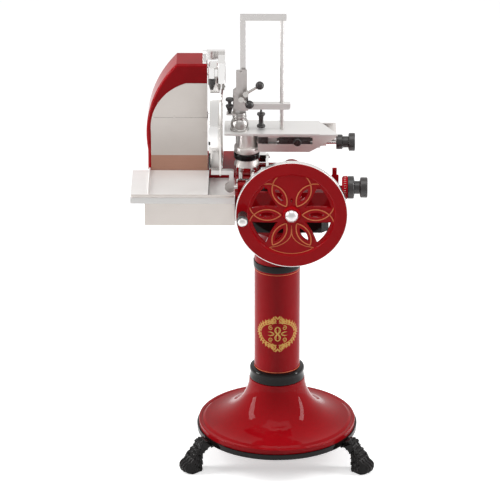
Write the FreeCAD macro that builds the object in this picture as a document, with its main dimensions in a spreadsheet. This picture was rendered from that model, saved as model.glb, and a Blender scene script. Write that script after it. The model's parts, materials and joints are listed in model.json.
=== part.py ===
"""Hand crank flywheel slicer on a round pedestal with paw feet, as a parametric document.

Lengths are millimetres and +Z is up. The operator stands on the -Y side and turns the flywheel, the carriage
runs along Y past the blade, and the blade turns in a YZ plane on the left, -X, side of the carriage.
Places are measured from the point on the floor under the column's axis, which place() moves to the frame.
"""
import FreeCAD, Part
import os

import Sketcher
from FreeCAD import Placement, Rotation, Vector

SIZES = {
    # The column's axis in the frame, whose origin is under the middle of the whole machine.
    "column_x": 72.5,
    "column_y": -27.7,
    # Clearances.
    "running_gap": 0.05,
    "slide_gap": 0.3,
    # Paw feet.
    "paw_heel": 284.0,
    "paw_sole_length": 42.0,
    "paw_toe_length": 26.0,
    "paw_toe_height": 34.0,
    "paw_instep_height": 62.0,
    "paw_width": 58.0,
    "paw_ankle_width": 44.0,
    "paw_shoulder": 290.0,
    "toe_length": 21.0,
    "toe_width": 8.6,
    "toe_rise": 17.0,
    "toe_spread": 13.0,
    "paw_seat": 214.0,
    "paw_seat_thickness": 8.0,
    # Pedestal.
    "ring_radius": 255.0,
    "ring_bore": 206.0,
    "ring_bottom": 83.0,
    "ring_top": 101.0,
    "rim_radius": 249.5,
    "rim_top": 118.0,
    "flare_foot": 229.0,
    "flare_height": 122.0,
    "flare_bend": 145.0,
    "neck_radius": 90.0,
    "neck_bottom": 243.0,
    "neck_top": 262.0,
    "shell_wall": 8.0,
    "lower_collar_radius": 87.0,
    "lower_collar_height": 46.0,
    "collar_floor": 7.0,
    "column_radius": 72.5,
    "column_wall": 9.0,
    "column_top": 737.0,
    "upper_collar_radius": 76.5,
    "upper_collar_bottom": 647.0,
    "upper_collar_height": 22.0,
    "head_radius": 96.0,
    "head_height": 60.0,
    "head_flange": 14.0,
    # Black mounting plate on the pedestal.
    "plate_left": -112.0,
    "plate_right": 160.0,
    "plate_front": -99.0,
    "plate_back": 138.0,
    "plate_corner": 22.0,
    "plate_height": 34.0,
    "plate_wall": 12.0,
    "plate_bolt_x": 92.0,
    "plate_bolt_y": 76.0,
    "plate_bolt_radius": 5.0,
    "plate_bolt_hole": 5.1,
    "plate_bolt_head": 9.0,
    "plate_bolt_head_height": 7.0,
    "plate_bolt_grip": 22.0,
    "bolt_boss_radius": 14.0,
    "bolt_boss_height": 32.0,
    # Machine base casting. Heights from here on are taken with the machine's floor at this height.
    "machine_floor": 831.0,
    "base_height": 101.0,
    "base_left": -132.0,
    "base_right": 200.0,
    "base_front": -97.0,
    "base_back": 152.0,
    "base_corner": 16.0,
    "shoulder_front": -50.0,
    "shoulder_right": 84.0,
    "shoulder_bend": 600.0,
    "base_wall": 10.0,
    "base_deck": 8.0,
    "wing_left": -400.0,
    "wing_right": -60.0,
    "wing_front": 62.0,
    "wing_back": 250.0,
    "web_left": -14.0,
    "web_right": 4.0,
    "gear_web_front": 30.0,
    "gear_web_back": 42.0,
    "wing_web_left": -300.0,
    "wing_web_right": -290.0,
    "gear_hood_radius": 36.0,
    "gear_hood_wall": 3.0,
    "gear_hood_front": -60.0,
    "gear_hood_back": 145.0,
    "nose_radius": 25.0,
    "nose_length": 53.0,
    # Flywheel and its shaft.
    "wheel_x": 44.0,
    "wheel_z": 911.0,
    "wheel_back": -204.0,
    "wheel_radius": 171.0,
    "wheel_band": 2.5,
    "wheel_band_width": 18.0,
    "rim_inner_radius": 134.0,
    "wheel_rim_back": 6.0,
    "wheel_rim_depth": 22.0,
    "wheel_web_back": 12.0,
    "wheel_web": 10.0,
    "wheel_hub_radius": 29.0,
    "wheel_hub_length": 34.0,
    "window_apex_radius": 48.0,
    "window_bend": 260.0,
    "window_radius": 124.0,
    "eyelet_root_radius": 40.0,
    "eyelet_tip_radius": 58.0,
    "eyelet_bend": 13.0,
    "petal_root_radius": 31.0,
    "petal_tip_radius": 118.0,
    "petal_bend": 58.0,
    "petal_lip": 3.0,
    "petal_hole_root_radius": 51.0,
    "petal_hole_tip_radius": 101.0,
    "petal_hole_bend": 41.0,
    "shaft_radius": 11.0,
    "shaft_back": 112.0,
    "shaft_nose": 6.0,
    "hub_cap_radius": 20.0,
    "hub_cap_height": 15.0,
    "bush_wall": 5.0,
    # Crank handle on the flywheel.
    "handle_throw": 151.0,
    "spindle_radius": 7.0,
    "grip_radius": 16.5,
    "grip_waist": 14.0,
    "grip_length": 56.0,
    "grip_cap_radius": 13.5,
    "grip_cap_height": 8.0,
    # Carriage crank, driven by the front bevel pair.
    "crank_y": -10.0,
    "crank_shaft_radius": 9.0,
    "crank_left": -52.0,
    "crank_thickness": 12.0,
    "crank_throw": 60.0,
    "crank_hub_radius": 24.0,
    "crank_boss_radius": 12.0,
    "crank_pin_radius": 7.0,
    "crank_pin_length": 3.4,
    "crank_slot_clearance": 6.0,
    "crank_slot_back": 136.0,
    "bevel_module": 2.0,
    "bevel_face": 5.0,
    "bevel_hub": 8.0,
    "bevel_hub_wall": 2.4,
    "mitre_radius": 22.0,
    # Blade drive, driven by the rear bevel pair.
    "drive_y": 124.0,
    "drive_gear_radius": 27.0,
    "drive_pinion_radius": 13.5,
    "drive_module": 1.5,
    "drive_shaft_radius": 9.0,
    "drive_shaft_left": -324.0,
    "sprocket_x": -318.0,
    "sprocket_width": 6.0,
    "large_sprocket_radius": 28.0,
    "small_sprocket_radius": 13.5,
    "sprocket_tooth": 3.0,
    "sprocket_tooth_width": 4.6,
    "chain_gap": 0.8,
    "chain_thickness": 4.0,
    # Blade, arbor and guard.
    "blade_y": 110.0,
    "blade_z": 1108.0,
    "blade_radius": 150.0,
    "blade_edge_x": -170.0,
    "blade_dish": 12.0,
    "blade_thickness": 4.0,
    "blade_bevel": 13.0,
    "blade_seat_radius": 60.0,
    "arbor_radius": 10.0,
    "arbor_flange_radius": 34.0,
    "arbor_flange": 6.0,
    "hub_plate_radius": 50.0,
    "hub_plate_thickness": 4.0,
    "guard_gap": 3.0,
    "guard_width": 19.0,
    "guard_left": -214.0,
    "guard_right": -173.0,
    "guard_wall": 3.0,
    "guard_start_angle": -125.0,
    "guard_sweep_angle": 235.0,
    "stay_width": 26.0,
    # Bearing housing in the hood.
    "housing_left": -304.0,
    "housing_right": -232.0,
    "housing_radius": 24.5,
    "housing_post_width": 44.0,
    "housing_foot_width": 48.0,
    "bearing_outer": 17.0,
    "bearing_width": 12.0,
    # Hood.
    "hood_front": 81.0,
    "hood_depth": 113.0,
    "hood_right": -220.0,
    "hood_left": -407.0,
    "hood_bottom": 935.0,
    "hood_top": 1288.0,
    "hood_shoulder_x": -316.0,
    "hood_side_z": 1000.0,
    "hood_bend": 330.0,
    "hood_wall": 4.0,
    "hood_edge": 9.0,
    # Deflector on the hood's front.
    "deflector_thickness": 3.0,
    "deflector_top": 1227.0,
    "deflector_bend_x": -286.0,
    "deflector_side_z": 1062.0,
    "deflector_bend": 155.0,
    "deflector_left": -397.0,
    "deflector_foot_top": 986.0,
    "deflector_screw_inset": 38.0,
    "deflector_screw_drop": 112.0,
    "deflector_edge_screw_drop": 168.0,
    "deflector_screw_radius": 3.5,
    "deflector_foot_thickness": 2.0,
    # Receiving tray and the box under it.
    "tray_thickness": 3.0,
    "tray_front": -150.0,
    "tray_right": -215.0,
    "tray_left": -456.0,
    "tray_rail_x": -404.0,
    "tray_rail_width": 5.0,
    "tray_rail_height": 9.0,
    "tray_lip": 17.0,
    "tray_lip_right": -132.0,
    "box_left": -412.0,
    "box_split": -243.0,
    "box_front": -146.0,
    "box_height": 74.0,
    "box_drop": 17.0,
    "box_wall": 2.5,
    # Thickness gauge: plate beside the blade, its arm, rod and knob.
    "gauge_y": -88.0,
    "gauge_z": 946.0,
    "gauge_rod_radius": 6.0,
    "gauge_plate_left": -180.0,
    "gauge_plate_thickness": 5.0,
    "gauge_plate_front": -104.0,
    "gauge_plate_back": -8.0,
    "gauge_plate_bottom": 985.0,
    "gauge_plate_top": 1212.0,
    "gauge_blade_gap": 3.5,
    "gauge_arm_left": -206.0,
    "gauge_arm_right": -136.0,
    "gauge_arm_top": 1004.0,
    "gauge_arm_bar": 14.0,
    "gauge_arm_depth": 16.0,
    "gauge_foot_bottom": 936.0,
    "guide_width": 20.0,
    "guide_height": 28.0,
    "guide_length": 26.0,
    "thickness_shaft_left": -40.0,
    "bracket_left": 168.0,
    "bracket_width": 22.0,
    "bracket_top": 1012.0,
    "bracket_waist": 8.0,
    "pointer_height": 26.0,
    "dial_radius": 36.0,
    "dial_left": 200.6,
    "dial_length": 17.4,
    "thick_knob_radius": 35.5,
    "thick_knob_body": 20.0,
    "thick_knob_neck_radius": 20.5,
    "thick_knob_neck": 19.0,
    "thick_knob_flange_radius": 32.0,
    "thick_knob_flange": 23.0,
    # Carriage rails, saddle and pillars.
    "rail_x": -97.0,
    "rail_pitch": 36.0,
    "rail_z": 948.0,
    "rail_radius": 7.0,
    "rail_front": -66.0,
    "rail_back": 246.0,
    "rail_block_width": 66.0,
    "rail_block_length": 10.0,
    "rail_block_top": 961.0,
    "saddle_front": 40.0,
    "saddle_back": 175.0,
    "saddle_width": 66.0,
    "saddle_bottom": 936.0,
    "saddle_top": 961.0,
    "wrist_y": 158.7,
    "wrist_z": 950.0,
    "wrist_pin_radius": 6.0,
    "wrist_lug": 26.0,
    "rod_x": -36.0,
    "rod_thickness": 8.0,
    "rod_big_radius": 13.0,
    "rod_small_radius": 11.0,
    "rod_waist": 12.0,
    "pillar_y": 66.0,
    "pillar_radius": 29.5,
    "pillar_waist_radius": 26.0,
    "pillar_top": 1067.0,
    "rear_pillar_y": 138.0,
    "rear_pillar_radius": 22.0,
    "pillar_collar_radius": 41.0,
    "pillar_collar_bottom": 984.0,
    "pillar_collar_height": 22.0,
    # Carriage frame and feed.
    "frame_left": -62.0,
    "frame_right": 183.0,
    "frame_front": 35.0,
    "frame_back": 150.0,
    "frame_bottom": 1015.0,
    "frame_top": 1069.0,
    "frame_bevel_x": 100.0,
    "frame_bevel_z": 1062.0,
    "frame_wall": 8.0,
    "frame_ear_left": -132.0,
    "frame_ear_front": 106.0,
    "frame_ear_back": 170.0,
    "slot_left": -50.0,
    "slot_right": 109.0,
    "slot_bottom": 1041.0,
    "slot_top": 1063.0,
    "slot_web_left": 50.0,
    "slot_web_right": 74.0,
    "feed_y": 62.0,
    "feed_z": 1038.7,
    "feed_screw_radius": 8.0,
    "feed_screw_right": 183.4,
    "feed_boss_left": 120.0,
    "feed_boss_right": 152.0,
    "feed_boss_radius": 13.0,
    "nut_left": -32.0,
    "nut_length": 30.0,
    "nut_width": 30.0,
    "nut_bottom": 1026.0,
    "feed_knob_radius": 23.5,
    "feed_knob_body": 20.0,
    "feed_knob_neck_radius": 18.0,
    "feed_knob_neck": 19.0,
    "feed_knob_flange_radius": 28.5,
    "feed_knob_flange": 20.0,
    "lock_knob_z": 1050.0,
    "lock_knob_radius": 12.5,
    "lock_knob_length": 11.0,
    "lock_shank_radius": 5.0,
    # Meat table.
    "table_left": -167.0,
    "table_split": 131.0,
    "table_right": 188.0,
    "table_front": 32.0,
    "table_back": 148.0,
    "table_thickness": 6.5,
    "table_step": 1.5,
    # Press: frame, slide, arm, levers and knobs.
    "press_y": 75.0,
    "post_left": -117.6,
    "post_width": 17.5,
    "post_thickness": 7.0,
    "press_top": 1458.0,
    "press_bar_height": 20.0,
    "press_bar_right": 27.0,
    "press_bar_thickness": 9.0,
    "press_rod_x": 13.0,
    "press_rod_radius": 6.5,
    "press_base_left": -150.0,
    "press_base_right": -90.0,
    "press_base_height": 58.0,
    "press_base_depth": 30.0,
    "press_base_step": 34.0,
    "sleeve_left": -140.0,
    "sleeve_right": -92.0,
    "sleeve_bottom": 1142.0,
    "sleeve_height": 128.0,
    "sleeve_depth": 24.0,
    "sleeve_step_height": 62.0,
    "sleeve_cap_height": 9.0,
    "arm_right": 40.0,
    "arm_z": 1145.0,
    "arm_height": 19.0,
    "arm_depth": 20.0,
    "hanger_x": -52.0,
    "hanger_knob_bottom": 1083.0,
    "hanger_knob_radius": 14.0,
    "hanger_knob_waist": 9.0,
    "hanger_knob_height": 49.0,
    "hanger_shank_radius": 4.0,
    "ball_radius": 13.5,
    "lever_radius": 4.0,
    "upper_lever_x": -92.0,
    "upper_lever_z": 1204.0,
    "upper_ball_x": -56.0,
    "upper_ball_z": 1232.0,
    "lower_lever_z": 1172.0,
    "lower_ball_drop": 4.0,
    "lever_hub_radius": 9.0,
    "lever_hub_length": 20.0,
    "side_knob_x": -150.0,
    "side_knob_bottom": 1140.0,
    "side_knob_height": 49.0,
    "side_knob_radius": 13.0,
    "side_knob_waist": 8.0,
    "side_shank_radius": 4.0,
    # Sharpener over the blade.
    "sharpener_z": 1314.0,
    "sharpener_left": -222.0,
    "sharpener_right": -164.0,
    "sharpener_half_height": 14.0,
    "sharpener_ear": 12.0,
    "sharpener_pin_radius": 5.0,
    "stone_column_x": -175.0,
    "stone_column_radius": 13.5,
    "stone_column_top": 1322.0,
    "stone_column_clearance": 13.0,
    "stone_bearing_angle": 125.25,
    "stone_blade_gap": 0.9,
    "stone_radius": 12.0,
    "stone_thickness": 6.0,
    "stone_gap": 1.0,
    "stone_spindle_radius": 3.0,
    "button_x": -205.0,
    "button_guide_radius": 11.0,
    "button_guide_top": 1304.0,
    "button_guide_bottom": 1270.0,
    "button_stem_radius": 4.0,
    "button_stem": 24.0,
    "button_radius": 11.0,
    "button_length": 34.0,
    "button_travel": 4.0,
}

UP = Rotation()
RIGHT = Rotation(Vector(1, 1, 1), 120)  # local x, y and z lie along Y, Z and X
FRONT = Rotation(Vector(1, 0, 0), 90)  # local x, y and z lie along X, Z and -Y
BACK = Rotation(Vector(1, 0, 0), -90)  # local x, y and z lie along X, -Z and Y

doc = FreeCAD.newDocument("slicer")
nodes = []
ground = {"rise": 0.0}


class Size:
    """A number together with the spreadsheet formula that it comes from."""

    def __init__(self, number, formula):
        self.number = number
        self.formula = formula

    def __add__(self, other):
        other = sized(other)
        return Size(self.number + other.number, f"({self.formula} + {other.formula})")

    def __radd__(self, other):
        return sized(other) + self

    def __sub__(self, other):
        other = sized(other)
        return Size(self.number - other.number, f"({self.formula} - {other.formula})")

    def __rsub__(self, other):
        return sized(other) - self

    def __mul__(self, other):
        other = sized(other)
        return Size(self.number * other.number, f"({self.formula} * {other.formula})")

    def __rmul__(self, other):
        return sized(other) * self

    def __truediv__(self, other):
        other = sized(other)
        return Size(self.number / other.number, f"({self.formula} / {other.formula})")

    def __neg__(self):
        return Size(-self.number, f"(-1 * {self.formula})")


def sized(value):
    """Returns value as a Size."""
    return value if isinstance(value, Size) else Size(float(value), f"{float(value):.9g}")


def polar(radius, degrees):
    """Returns the point at a radius and an angle, as two Sizes."""
    turn = Vector(1, 0, 0)
    turn = Rotation(Vector(0, 0, 1), degrees).multVec(turn)
    radius = sized(radius)
    return (
        Size(radius.number * turn.x, f"({radius.formula} * cos({degrees}))"),
        Size(radius.number * turn.y, f"({radius.formula} * sin({degrees}))"),
    )


class Named:
    """Gives each driving dimension as a Size, by its name."""

    def __getattr__(self, name):
        return Size(SIZES[name], f"Sizes.{name}")


S = Named()


def dome(radius, height):
    """Returns the bend of a dome over a disc, so that the dome is part of a ball."""
    return (radius * radius + height * height) / (height * 2)


def make_sheet():
    """Writes the driving dimensions to the spreadsheet."""
    sheet = doc.addObject("Spreadsheet::Sheet", "Sizes")
    for row, (name, value) in enumerate(SIZES.items(), start=1):
        sheet.set(f"A{row}", name)
        sheet.set(f"B{row}", str(value))
        sheet.setAlias(f"B{row}", name)
    doc.recompute()


def bind(thing, prop, size):
    """Ties a property to the spreadsheet."""
    thing.setExpression(prop, sized(size).formula)


def place(thing, at=(0, 0, 0), turn=UP):
    """Puts a thing at a point measured from the column's foot."""
    thing.Placement = Placement(Vector(), turn)
    bind(thing, "Placement.Base.x", S.column_x + at[0])
    bind(thing, "Placement.Base.y", S.column_y + at[1])
    bind(thing, "Placement.Base.z", sized(at[2]) + ground["rise"])
    return thing


def node(thing):
    """Keeps a finished piece as a sub-part of its own."""
    nodes.append(thing)
    return thing


def origin_feature(body, role):
    """Returns a plane or an axis of a body's own origin."""
    return next(f for f in body.Origin.OriginFeatures if f.Role == role)


def draw_edge(sketch, start, end, bend):
    """Adds a straight edge, or an arc of radius bend, left-turning if positive; gives its first point's index."""
    first = Vector(start[0].number, start[1].number, 0)
    last = Vector(end[0].number, end[1].number, 0)
    if bend is None:
        return sketch.addGeometry(Part.LineSegment(first, last)), 1, 2
    radius = abs(bend.number)
    chord = last - first
    left = Vector(-chord.y, chord.x, 0).normalize()
    depth = (radius**2 - (chord.Length / 2) ** 2) ** 0.5
    side = 1 if bend.number > 0 else -1
    centre = (first + last) * 0.5 + left * depth * side
    circle = Part.Circle(centre, Vector(0, 0, 1), radius)
    low, high = (first, last) if side > 0 else (last, first)
    arc = Part.ArcOfCircle(circle, circle.parameter(low), circle.parameter(high))
    return sketch.addGeometry(arc), (1 if side > 0 else 2), (2 if side > 0 else 1)


def fix(sketch, kind, *where, size):
    """Adds a dimension to a sketch and ties it to the spreadsheet."""
    index = sketch.addConstraint(Sketcher.Constraint(kind, *where, size.number))
    bind(sketch, f"Constraints[{index}]", size)


def outline(sketch, corners):
    """Draws a closed outline: each corner is (u, v), or (u, v, bend) for an arc to the next corner."""
    points = [(sized(c[0]), sized(c[1])) for c in corners]
    bends = [sized(c[2]) if len(c) > 2 else None for c in corners]
    edges = []
    for i, point in enumerate(points):
        edges.append(draw_edge(sketch, point, points[(i + 1) % len(points)], bends[i]))
    for i, (edge, start, end) in enumerate(edges):
        after = edges[(i + 1) % len(edges)]
        sketch.addConstraint(Sketcher.Constraint("Coincident", edge, end, after[0], after[1]))
        fix(sketch, "DistanceX", -1, 1, edge, start, size=points[i][0])
        fix(sketch, "DistanceY", -1, 1, edge, start, size=points[i][1])
        if bends[i]:
            radius = bends[i] if bends[i].number > 0 else -bends[i]
            fix(sketch, "Radius", edge, size=radius)


def round_outline(sketch, centre, radius):
    """Draws a circle."""
    centre = (sized(centre[0]), sized(centre[1]))
    radius = sized(radius)
    circle = Part.Circle(Vector(centre[0].number, centre[1].number, 0), Vector(0, 0, 1), radius.number)
    edge = sketch.addGeometry(circle)
    fix(sketch, "DistanceX", -1, 1, edge, 3, size=centre[0])
    fix(sketch, "DistanceY", -1, 1, edge, 3, size=centre[1])
    fix(sketch, "Radius", edge, size=radius)


def new_sketch(body, role, lift=None):
    """Adds a sketch on one of the body's own planes, lifted along its normal if asked."""
    sketch = body.newObject("Sketcher::SketchObject", f"{body.Name}_sketch")
    sketch.AttachmentSupport = [(origin_feature(body, role), "")]
    sketch.MapMode = "FlatFace"
    if lift is not None:
        sketch.AttachmentOffset = Placement(Vector(0, 0, sized(lift).number), Rotation())
        bind(sketch, "AttachmentOffset.Base.z", lift)
    return sketch


def turned(name, profile, at=(0, 0, 0), turn=UP, angle=None):
    """Revolves a closed (radius, height) profile about the local z axis."""
    body = doc.addObject("PartDesign::Body", name)
    sketch = new_sketch(body, "XZ_Plane")
    outline(sketch, profile)
    feature = body.newObject("PartDesign::Revolution", f"{name}_turning")
    feature.Profile = sketch
    feature.ReferenceAxis = (sketch, ["V_Axis"])
    feature.Angle = 360
    if angle is not None:
        bind(feature, "Angle", angle)
    return place(body, at, turn)


def plate(name, profile, thickness, at=(0, 0, 0), turn=UP, holes=()):
    """Pads a closed profile along the local z axis, with round holes given as (u, v, radius)."""
    body = doc.addObject("PartDesign::Body", name)
    sketch = new_sketch(body, "XY_Plane")
    outline(sketch, profile)
    for u, v, radius in holes:
        round_outline(sketch, (u, v), radius)
    feature = body.newObject("PartDesign::Pad", f"{name}_pad")
    feature.Profile = sketch
    bind(feature, "Length", thickness)
    return place(body, at, turn)


def rectangle(left, bottom, right, top):
    """Returns the four corners of an upright rectangle."""
    return [(left, bottom), (right, bottom), (right, top), (left, top)]


def rounded(left, bottom, right, top, corner):
    """Returns the outline of a rectangle with rounded corners."""
    left, bottom, right, top = sized(left), sized(bottom), sized(right), sized(top)
    return [
        (left + corner, bottom),
        (right - corner, bottom, corner),
        (right, bottom + corner),
        (right, top - corner, corner),
        (right - corner, top),
        (left + corner, top, corner),
        (left, top - corner),
        (left, bottom + corner, corner),
    ]


def bar(name, left, right, front, back, bottom, top):
    """Makes a rectangular bar between six planes."""
    thing = doc.addObject("Part::Box", name)
    bind(thing, "Length", sized(right) - left)
    bind(thing, "Width", sized(back) - front)
    bind(thing, "Height", sized(top) - bottom)
    return place(thing, (left, front, bottom))


def rod(name, radius, length, at, turn=UP):
    """Makes a round rod that starts at a point and runs along the local z axis."""
    thing = doc.addObject("Part::Cylinder", name)
    bind(thing, "Radius", radius)
    bind(thing, "Height", length)
    return place(thing, at, turn)


def ball(name, radius, at):
    """Makes a ball."""
    thing = doc.addObject("Part::Sphere", name)
    bind(thing, "Radius", radius)
    return place(thing, at)


def joined(name, *pieces):
    """Fuses pieces into one solid."""
    thing = doc.addObject("Part::MultiFuse", name)
    thing.Shapes = list(pieces)
    return thing


def without(name, base, *tools):
    """Cuts tools out of a piece."""
    cutter = tools[0] if len(tools) == 1 else joined(f"{name}_cutter", *tools)
    thing = doc.addObject("Part::Cut", name)
    thing.Base = base
    thing.Tool = cutter
    return thing


def grouped(name, *pieces):
    """Keeps separate solids together as one sub-part."""
    thing = doc.addObject("Part::Compound", name)
    thing.Links = list(pieces)
    return thing


def repeat(body, features, count, name):
    """Repeats features of a body round its local z axis."""
    pattern = body.newObject("PartDesign::PolarPattern", name)
    pattern.Originals = features
    pattern.Axis = (origin_feature(body, "Z_Axis"), [""])
    pattern.Angle = 360
    pattern.Occurrences = count
    body.Tip = pattern
    return pattern


def cut_through(body, name, *outlines):
    """Cuts outlines right through a body along the local z axis."""
    sketch = new_sketch(body, "XY_Plane")
    for corners in outlines:
        outline(sketch, corners)
    pocket = body.newObject("PartDesign::Pocket", name)
    pocket.Profile = sketch
    pocket.Type = "ThroughAll"
    pocket.Reversed = True
    body.Tip = pocket
    return pocket


# ---------------------------------------------------------------- pedestal


def lion_paws():
    """Three cast paw feet under the ring: each an arched leg with four toes."""
    name = "paw"
    ball_line = S.paw_heel + S.paw_sole_length
    reach = ball_line + S.paw_toe_length
    bulge = S.paw_toe_length + S.paw_toe_height / 3
    side = [
        (S.paw_heel, 0),
        (ball_line, 0, bulge),
        (reach, S.paw_toe_height * 0.7, bulge),
        (ball_line + 2, S.paw_toe_height + 5),
        (ball_line - 16, S.paw_instep_height),
        (S.paw_shoulder, S.ring_top - 14, 18),
        (S.paw_shoulder - 6, S.ring_top),
        (S.ring_radius, S.ring_top),
        (S.ring_radius, S.ring_bottom),
        (S.paw_seat, S.ring_bottom),
        (S.paw_seat, S.ring_bottom - S.paw_seat_thickness),
        (S.paw_heel - 24, S.ring_bottom - S.paw_seat_thickness, -34),
        (S.paw_heel - 2, S.paw_toe_height),
    ]
    leg = plate(f"{name}_side", side, S.paw_width, (0, S.paw_width / 2, 0), FRONT)
    top = [
        (S.paw_seat - 4, -S.paw_ankle_width / 2),
        (S.paw_shoulder, -S.paw_ankle_width / 2),
        (ball_line - 6, -S.paw_width / 2),
        (reach - 8, -S.toe_spread - 8, S.toe_spread * 1.2 + 9.6),
        (reach - 8, S.toe_spread + 8),
        (ball_line - 6, S.paw_width / 2),
        (S.paw_shoulder, S.paw_ankle_width / 2),
        (S.paw_seat - 4, S.paw_ankle_width / 2),
    ]
    plan = plate(f"{name}_plan", top, S.ring_top + 4)
    leg_core = doc.addObject("Part::Common", f"{name}_leg")
    leg_core.Base = leg
    leg_core.Tool = plan
    toes = []
    for index, place_across in enumerate((-1.5, -0.5, 0.5, 1.5)):
        toe = doc.addObject("Part::Ellipsoid", f"{name}_toe_{index + 1}")
        bind(toe, "Radius1", S.toe_rise)
        bind(toe, "Radius2", S.toe_length)
        bind(toe, "Radius3", S.toe_width)
        curl = sized(2.0 * abs(place_across) ** 2)
        place(toe, (ball_line + 4 - curl, S.toe_spread * place_across, S.toe_rise))
        toes.append(toe)
    claws = joined(f"{name}_cast", leg_core, *toes)
    floor = bar(f"{name}_floor", S.paw_seat, reach + 20, -S.paw_width, S.paw_width, -30, 0)
    whole = without("paw", claws, floor)
    paws = []
    for bearing in (-30, 90, 210):
        paw = doc.addObject("Part::Feature", f"paw_at_{bearing}".replace("-", "minus_"))
        doc.recompute()
        shape = whole.Shape.copy()
        shape.rotate(Vector(S.column_x.number, S.column_y.number, 0), Vector(0, 0, 1), bearing)
        paw.Shape = shape
        paws.append(paw)
    node(grouped("lion_paws", *paws))


def pedestal_base():
    """Black foot ring and the red trumpet-shaped base that stands on it."""
    bottom, top = S.ring_bottom, S.ring_top
    node(turned("foot_ring", [
        (S.ring_bore, bottom), (S.ring_radius - 4, bottom, 4), (S.ring_radius, bottom + 4),
        (S.ring_radius, top), (S.ring_bore, top),
    ]))
    wall = S.shell_wall
    node(turned("pedestal_base", [
        (S.rim_radius, top),
        (S.rim_radius, S.rim_top - 3, 3),
        (S.rim_radius - 3, S.rim_top),
        (S.rim_radius - 8, S.rim_top, 4),
        (S.rim_radius - 12, S.rim_top - 1),
        (S.flare_foot, S.flare_height, -S.flare_bend),
        (S.neck_radius, S.neck_bottom),
        (S.neck_radius - 2, S.neck_top),
        (S.neck_radius - 2 - wall, S.neck_top),
        (S.neck_radius - wall, S.neck_bottom, S.flare_bend + wall),
        (S.flare_foot - 2, S.flare_height - wall),
        (S.rim_radius - wall, S.rim_top - wall),
        (S.rim_radius - wall, top),
    ]))


def pedestal_column():
    """Lower collar, column tube, upper collar and the flared head that carries the plate."""
    low, high = S.neck_top, S.neck_top + S.lower_collar_height
    bore = S.column_radius - S.column_wall
    seat = low + S.collar_floor
    reach = S.lower_collar_radius
    lower = turned("lower_collar", [
        (bore, low), (reach - 3, low, 3), (reach, low + 3), (reach, high - 5), (reach - 4, high - 1),
        (reach - 9, high), (S.column_radius, high), (S.column_radius, seat), (bore, seat),
    ])
    node(turned("column", rectangle(bore, seat, S.column_radius, S.column_top)))
    bottom = S.upper_collar_bottom
    top = bottom + S.upper_collar_height
    reach = S.upper_collar_radius
    upper = turned("upper_collar", [
        (S.column_radius, bottom), (reach - 1, bottom), (reach, bottom + 3), (reach, top - 3),
        (reach - 1, top), (S.column_radius, top),
    ])
    node(grouped("column_collars", lower, upper))
    low, high = S.column_top, S.column_top + S.head_height
    node(turned("column_head", [
        (bore, low), (S.column_radius, low, -70),
        (S.head_radius, high - S.head_flange),
        (S.head_radius, high),
        (bore, high),
    ]))


def top_plate():
    """Black plate with cut corners on the column's head, hollow round its middle, and its four bolts."""
    bottom = S.column_top + S.head_height
    cut = S.plate_corner
    left, right, front, back = S.plate_left, S.plate_right, S.plate_front, S.plate_back
    edge = [
        (left + cut, front), (right - cut, front), (right, front + cut), (right, back - cut),
        (right - cut, back), (left + cut, back), (left, back - cut), (left, front + cut),
    ]
    across, along, hole = S.plate_bolt_x, S.plate_bolt_y, S.plate_bolt_hole
    spots = [(across * i, along * j) for i in (-1, 1) for j in (-1, 1)]
    slab = plate("top_plate_slab", edge, S.plate_height, (0, 0, bottom), UP, [(u, v, hole) for u, v in spots])
    wall = S.plate_wall
    hollow = plate(
        "top_plate_hollow",
        rectangle(left + wall + 6, front + wall + 6, right - wall - 6, back - wall - 6),
        S.plate_height - wall, (0, 0, bottom), UP,
    )
    core = rod("top_plate_core", S.head_radius + 2, S.plate_height - wall, (0, 0, bottom))
    pads = [
        rod(f"top_plate_pad_{i}", S.bolt_boss_radius, S.plate_height - wall, (u, v, bottom))
        for i, (u, v) in enumerate(spots)
    ]
    keep = joined("top_plate_kept", core, *pads)
    space = without("top_plate_space", hollow, keep)
    node(without("top_plate", slab, space))
    bolts = []
    for i, (u, v) in enumerate(spots):
        head = doc.addObject("Part::Prism", f"plate_bolt_head_{i}")
        bind(head, "Circumradius", S.plate_bolt_head)
        bind(head, "Height", S.plate_bolt_head_height)
        place(head, (u, v, bottom - S.plate_bolt_head_height))
        shank = rod(
            f"plate_bolt_shank_{i}", S.plate_bolt_radius, S.plate_height + S.plate_bolt_grip, (u, v, bottom)
        )
        bolts.append(joined(f"plate_bolt_{i}", head, shank))
    node(grouped("plate_bolts", *bolts))


# ---------------------------------------------------------------- machine base


def stand_machine_on_pedestal():
    """Raises or lowers every later piece with the top of the black plate."""
    ground["rise"] = S.column_top + S.head_height + S.plate_height - S.machine_floor


def base_floor():
    """Returns the height at which the machine stands on the black plate."""
    return S.machine_floor


def deck():
    """Returns the height of the base casting's top face."""
    return base_floor() + S.base_height


def bay(name, left, right, front, back):
    """Makes one of the hollows that open the casting from below."""
    return plate(
        name, rounded(left, front, right, back, 5), S.base_height - S.base_deck, (0, 0, base_floor())
    )


def base_plan(inset):
    """Outline of the base from above, with its long rear shoulder, drawn in by a wall's thickness."""
    corner = S.base_corner - inset / 2
    left, right = S.base_left + inset, S.base_right - inset
    front, back = S.base_front + inset, S.base_back - inset
    return [
        (left + corner, front), (right - corner, front, corner), (right, front + corner),
        (right, S.shoulder_front - inset / 2, S.shoulder_bend), (S.shoulder_right - inset / 2, back),
        (left + corner, back, corner), (left, back - corner), (left, front + corner, corner),
    ]


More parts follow.
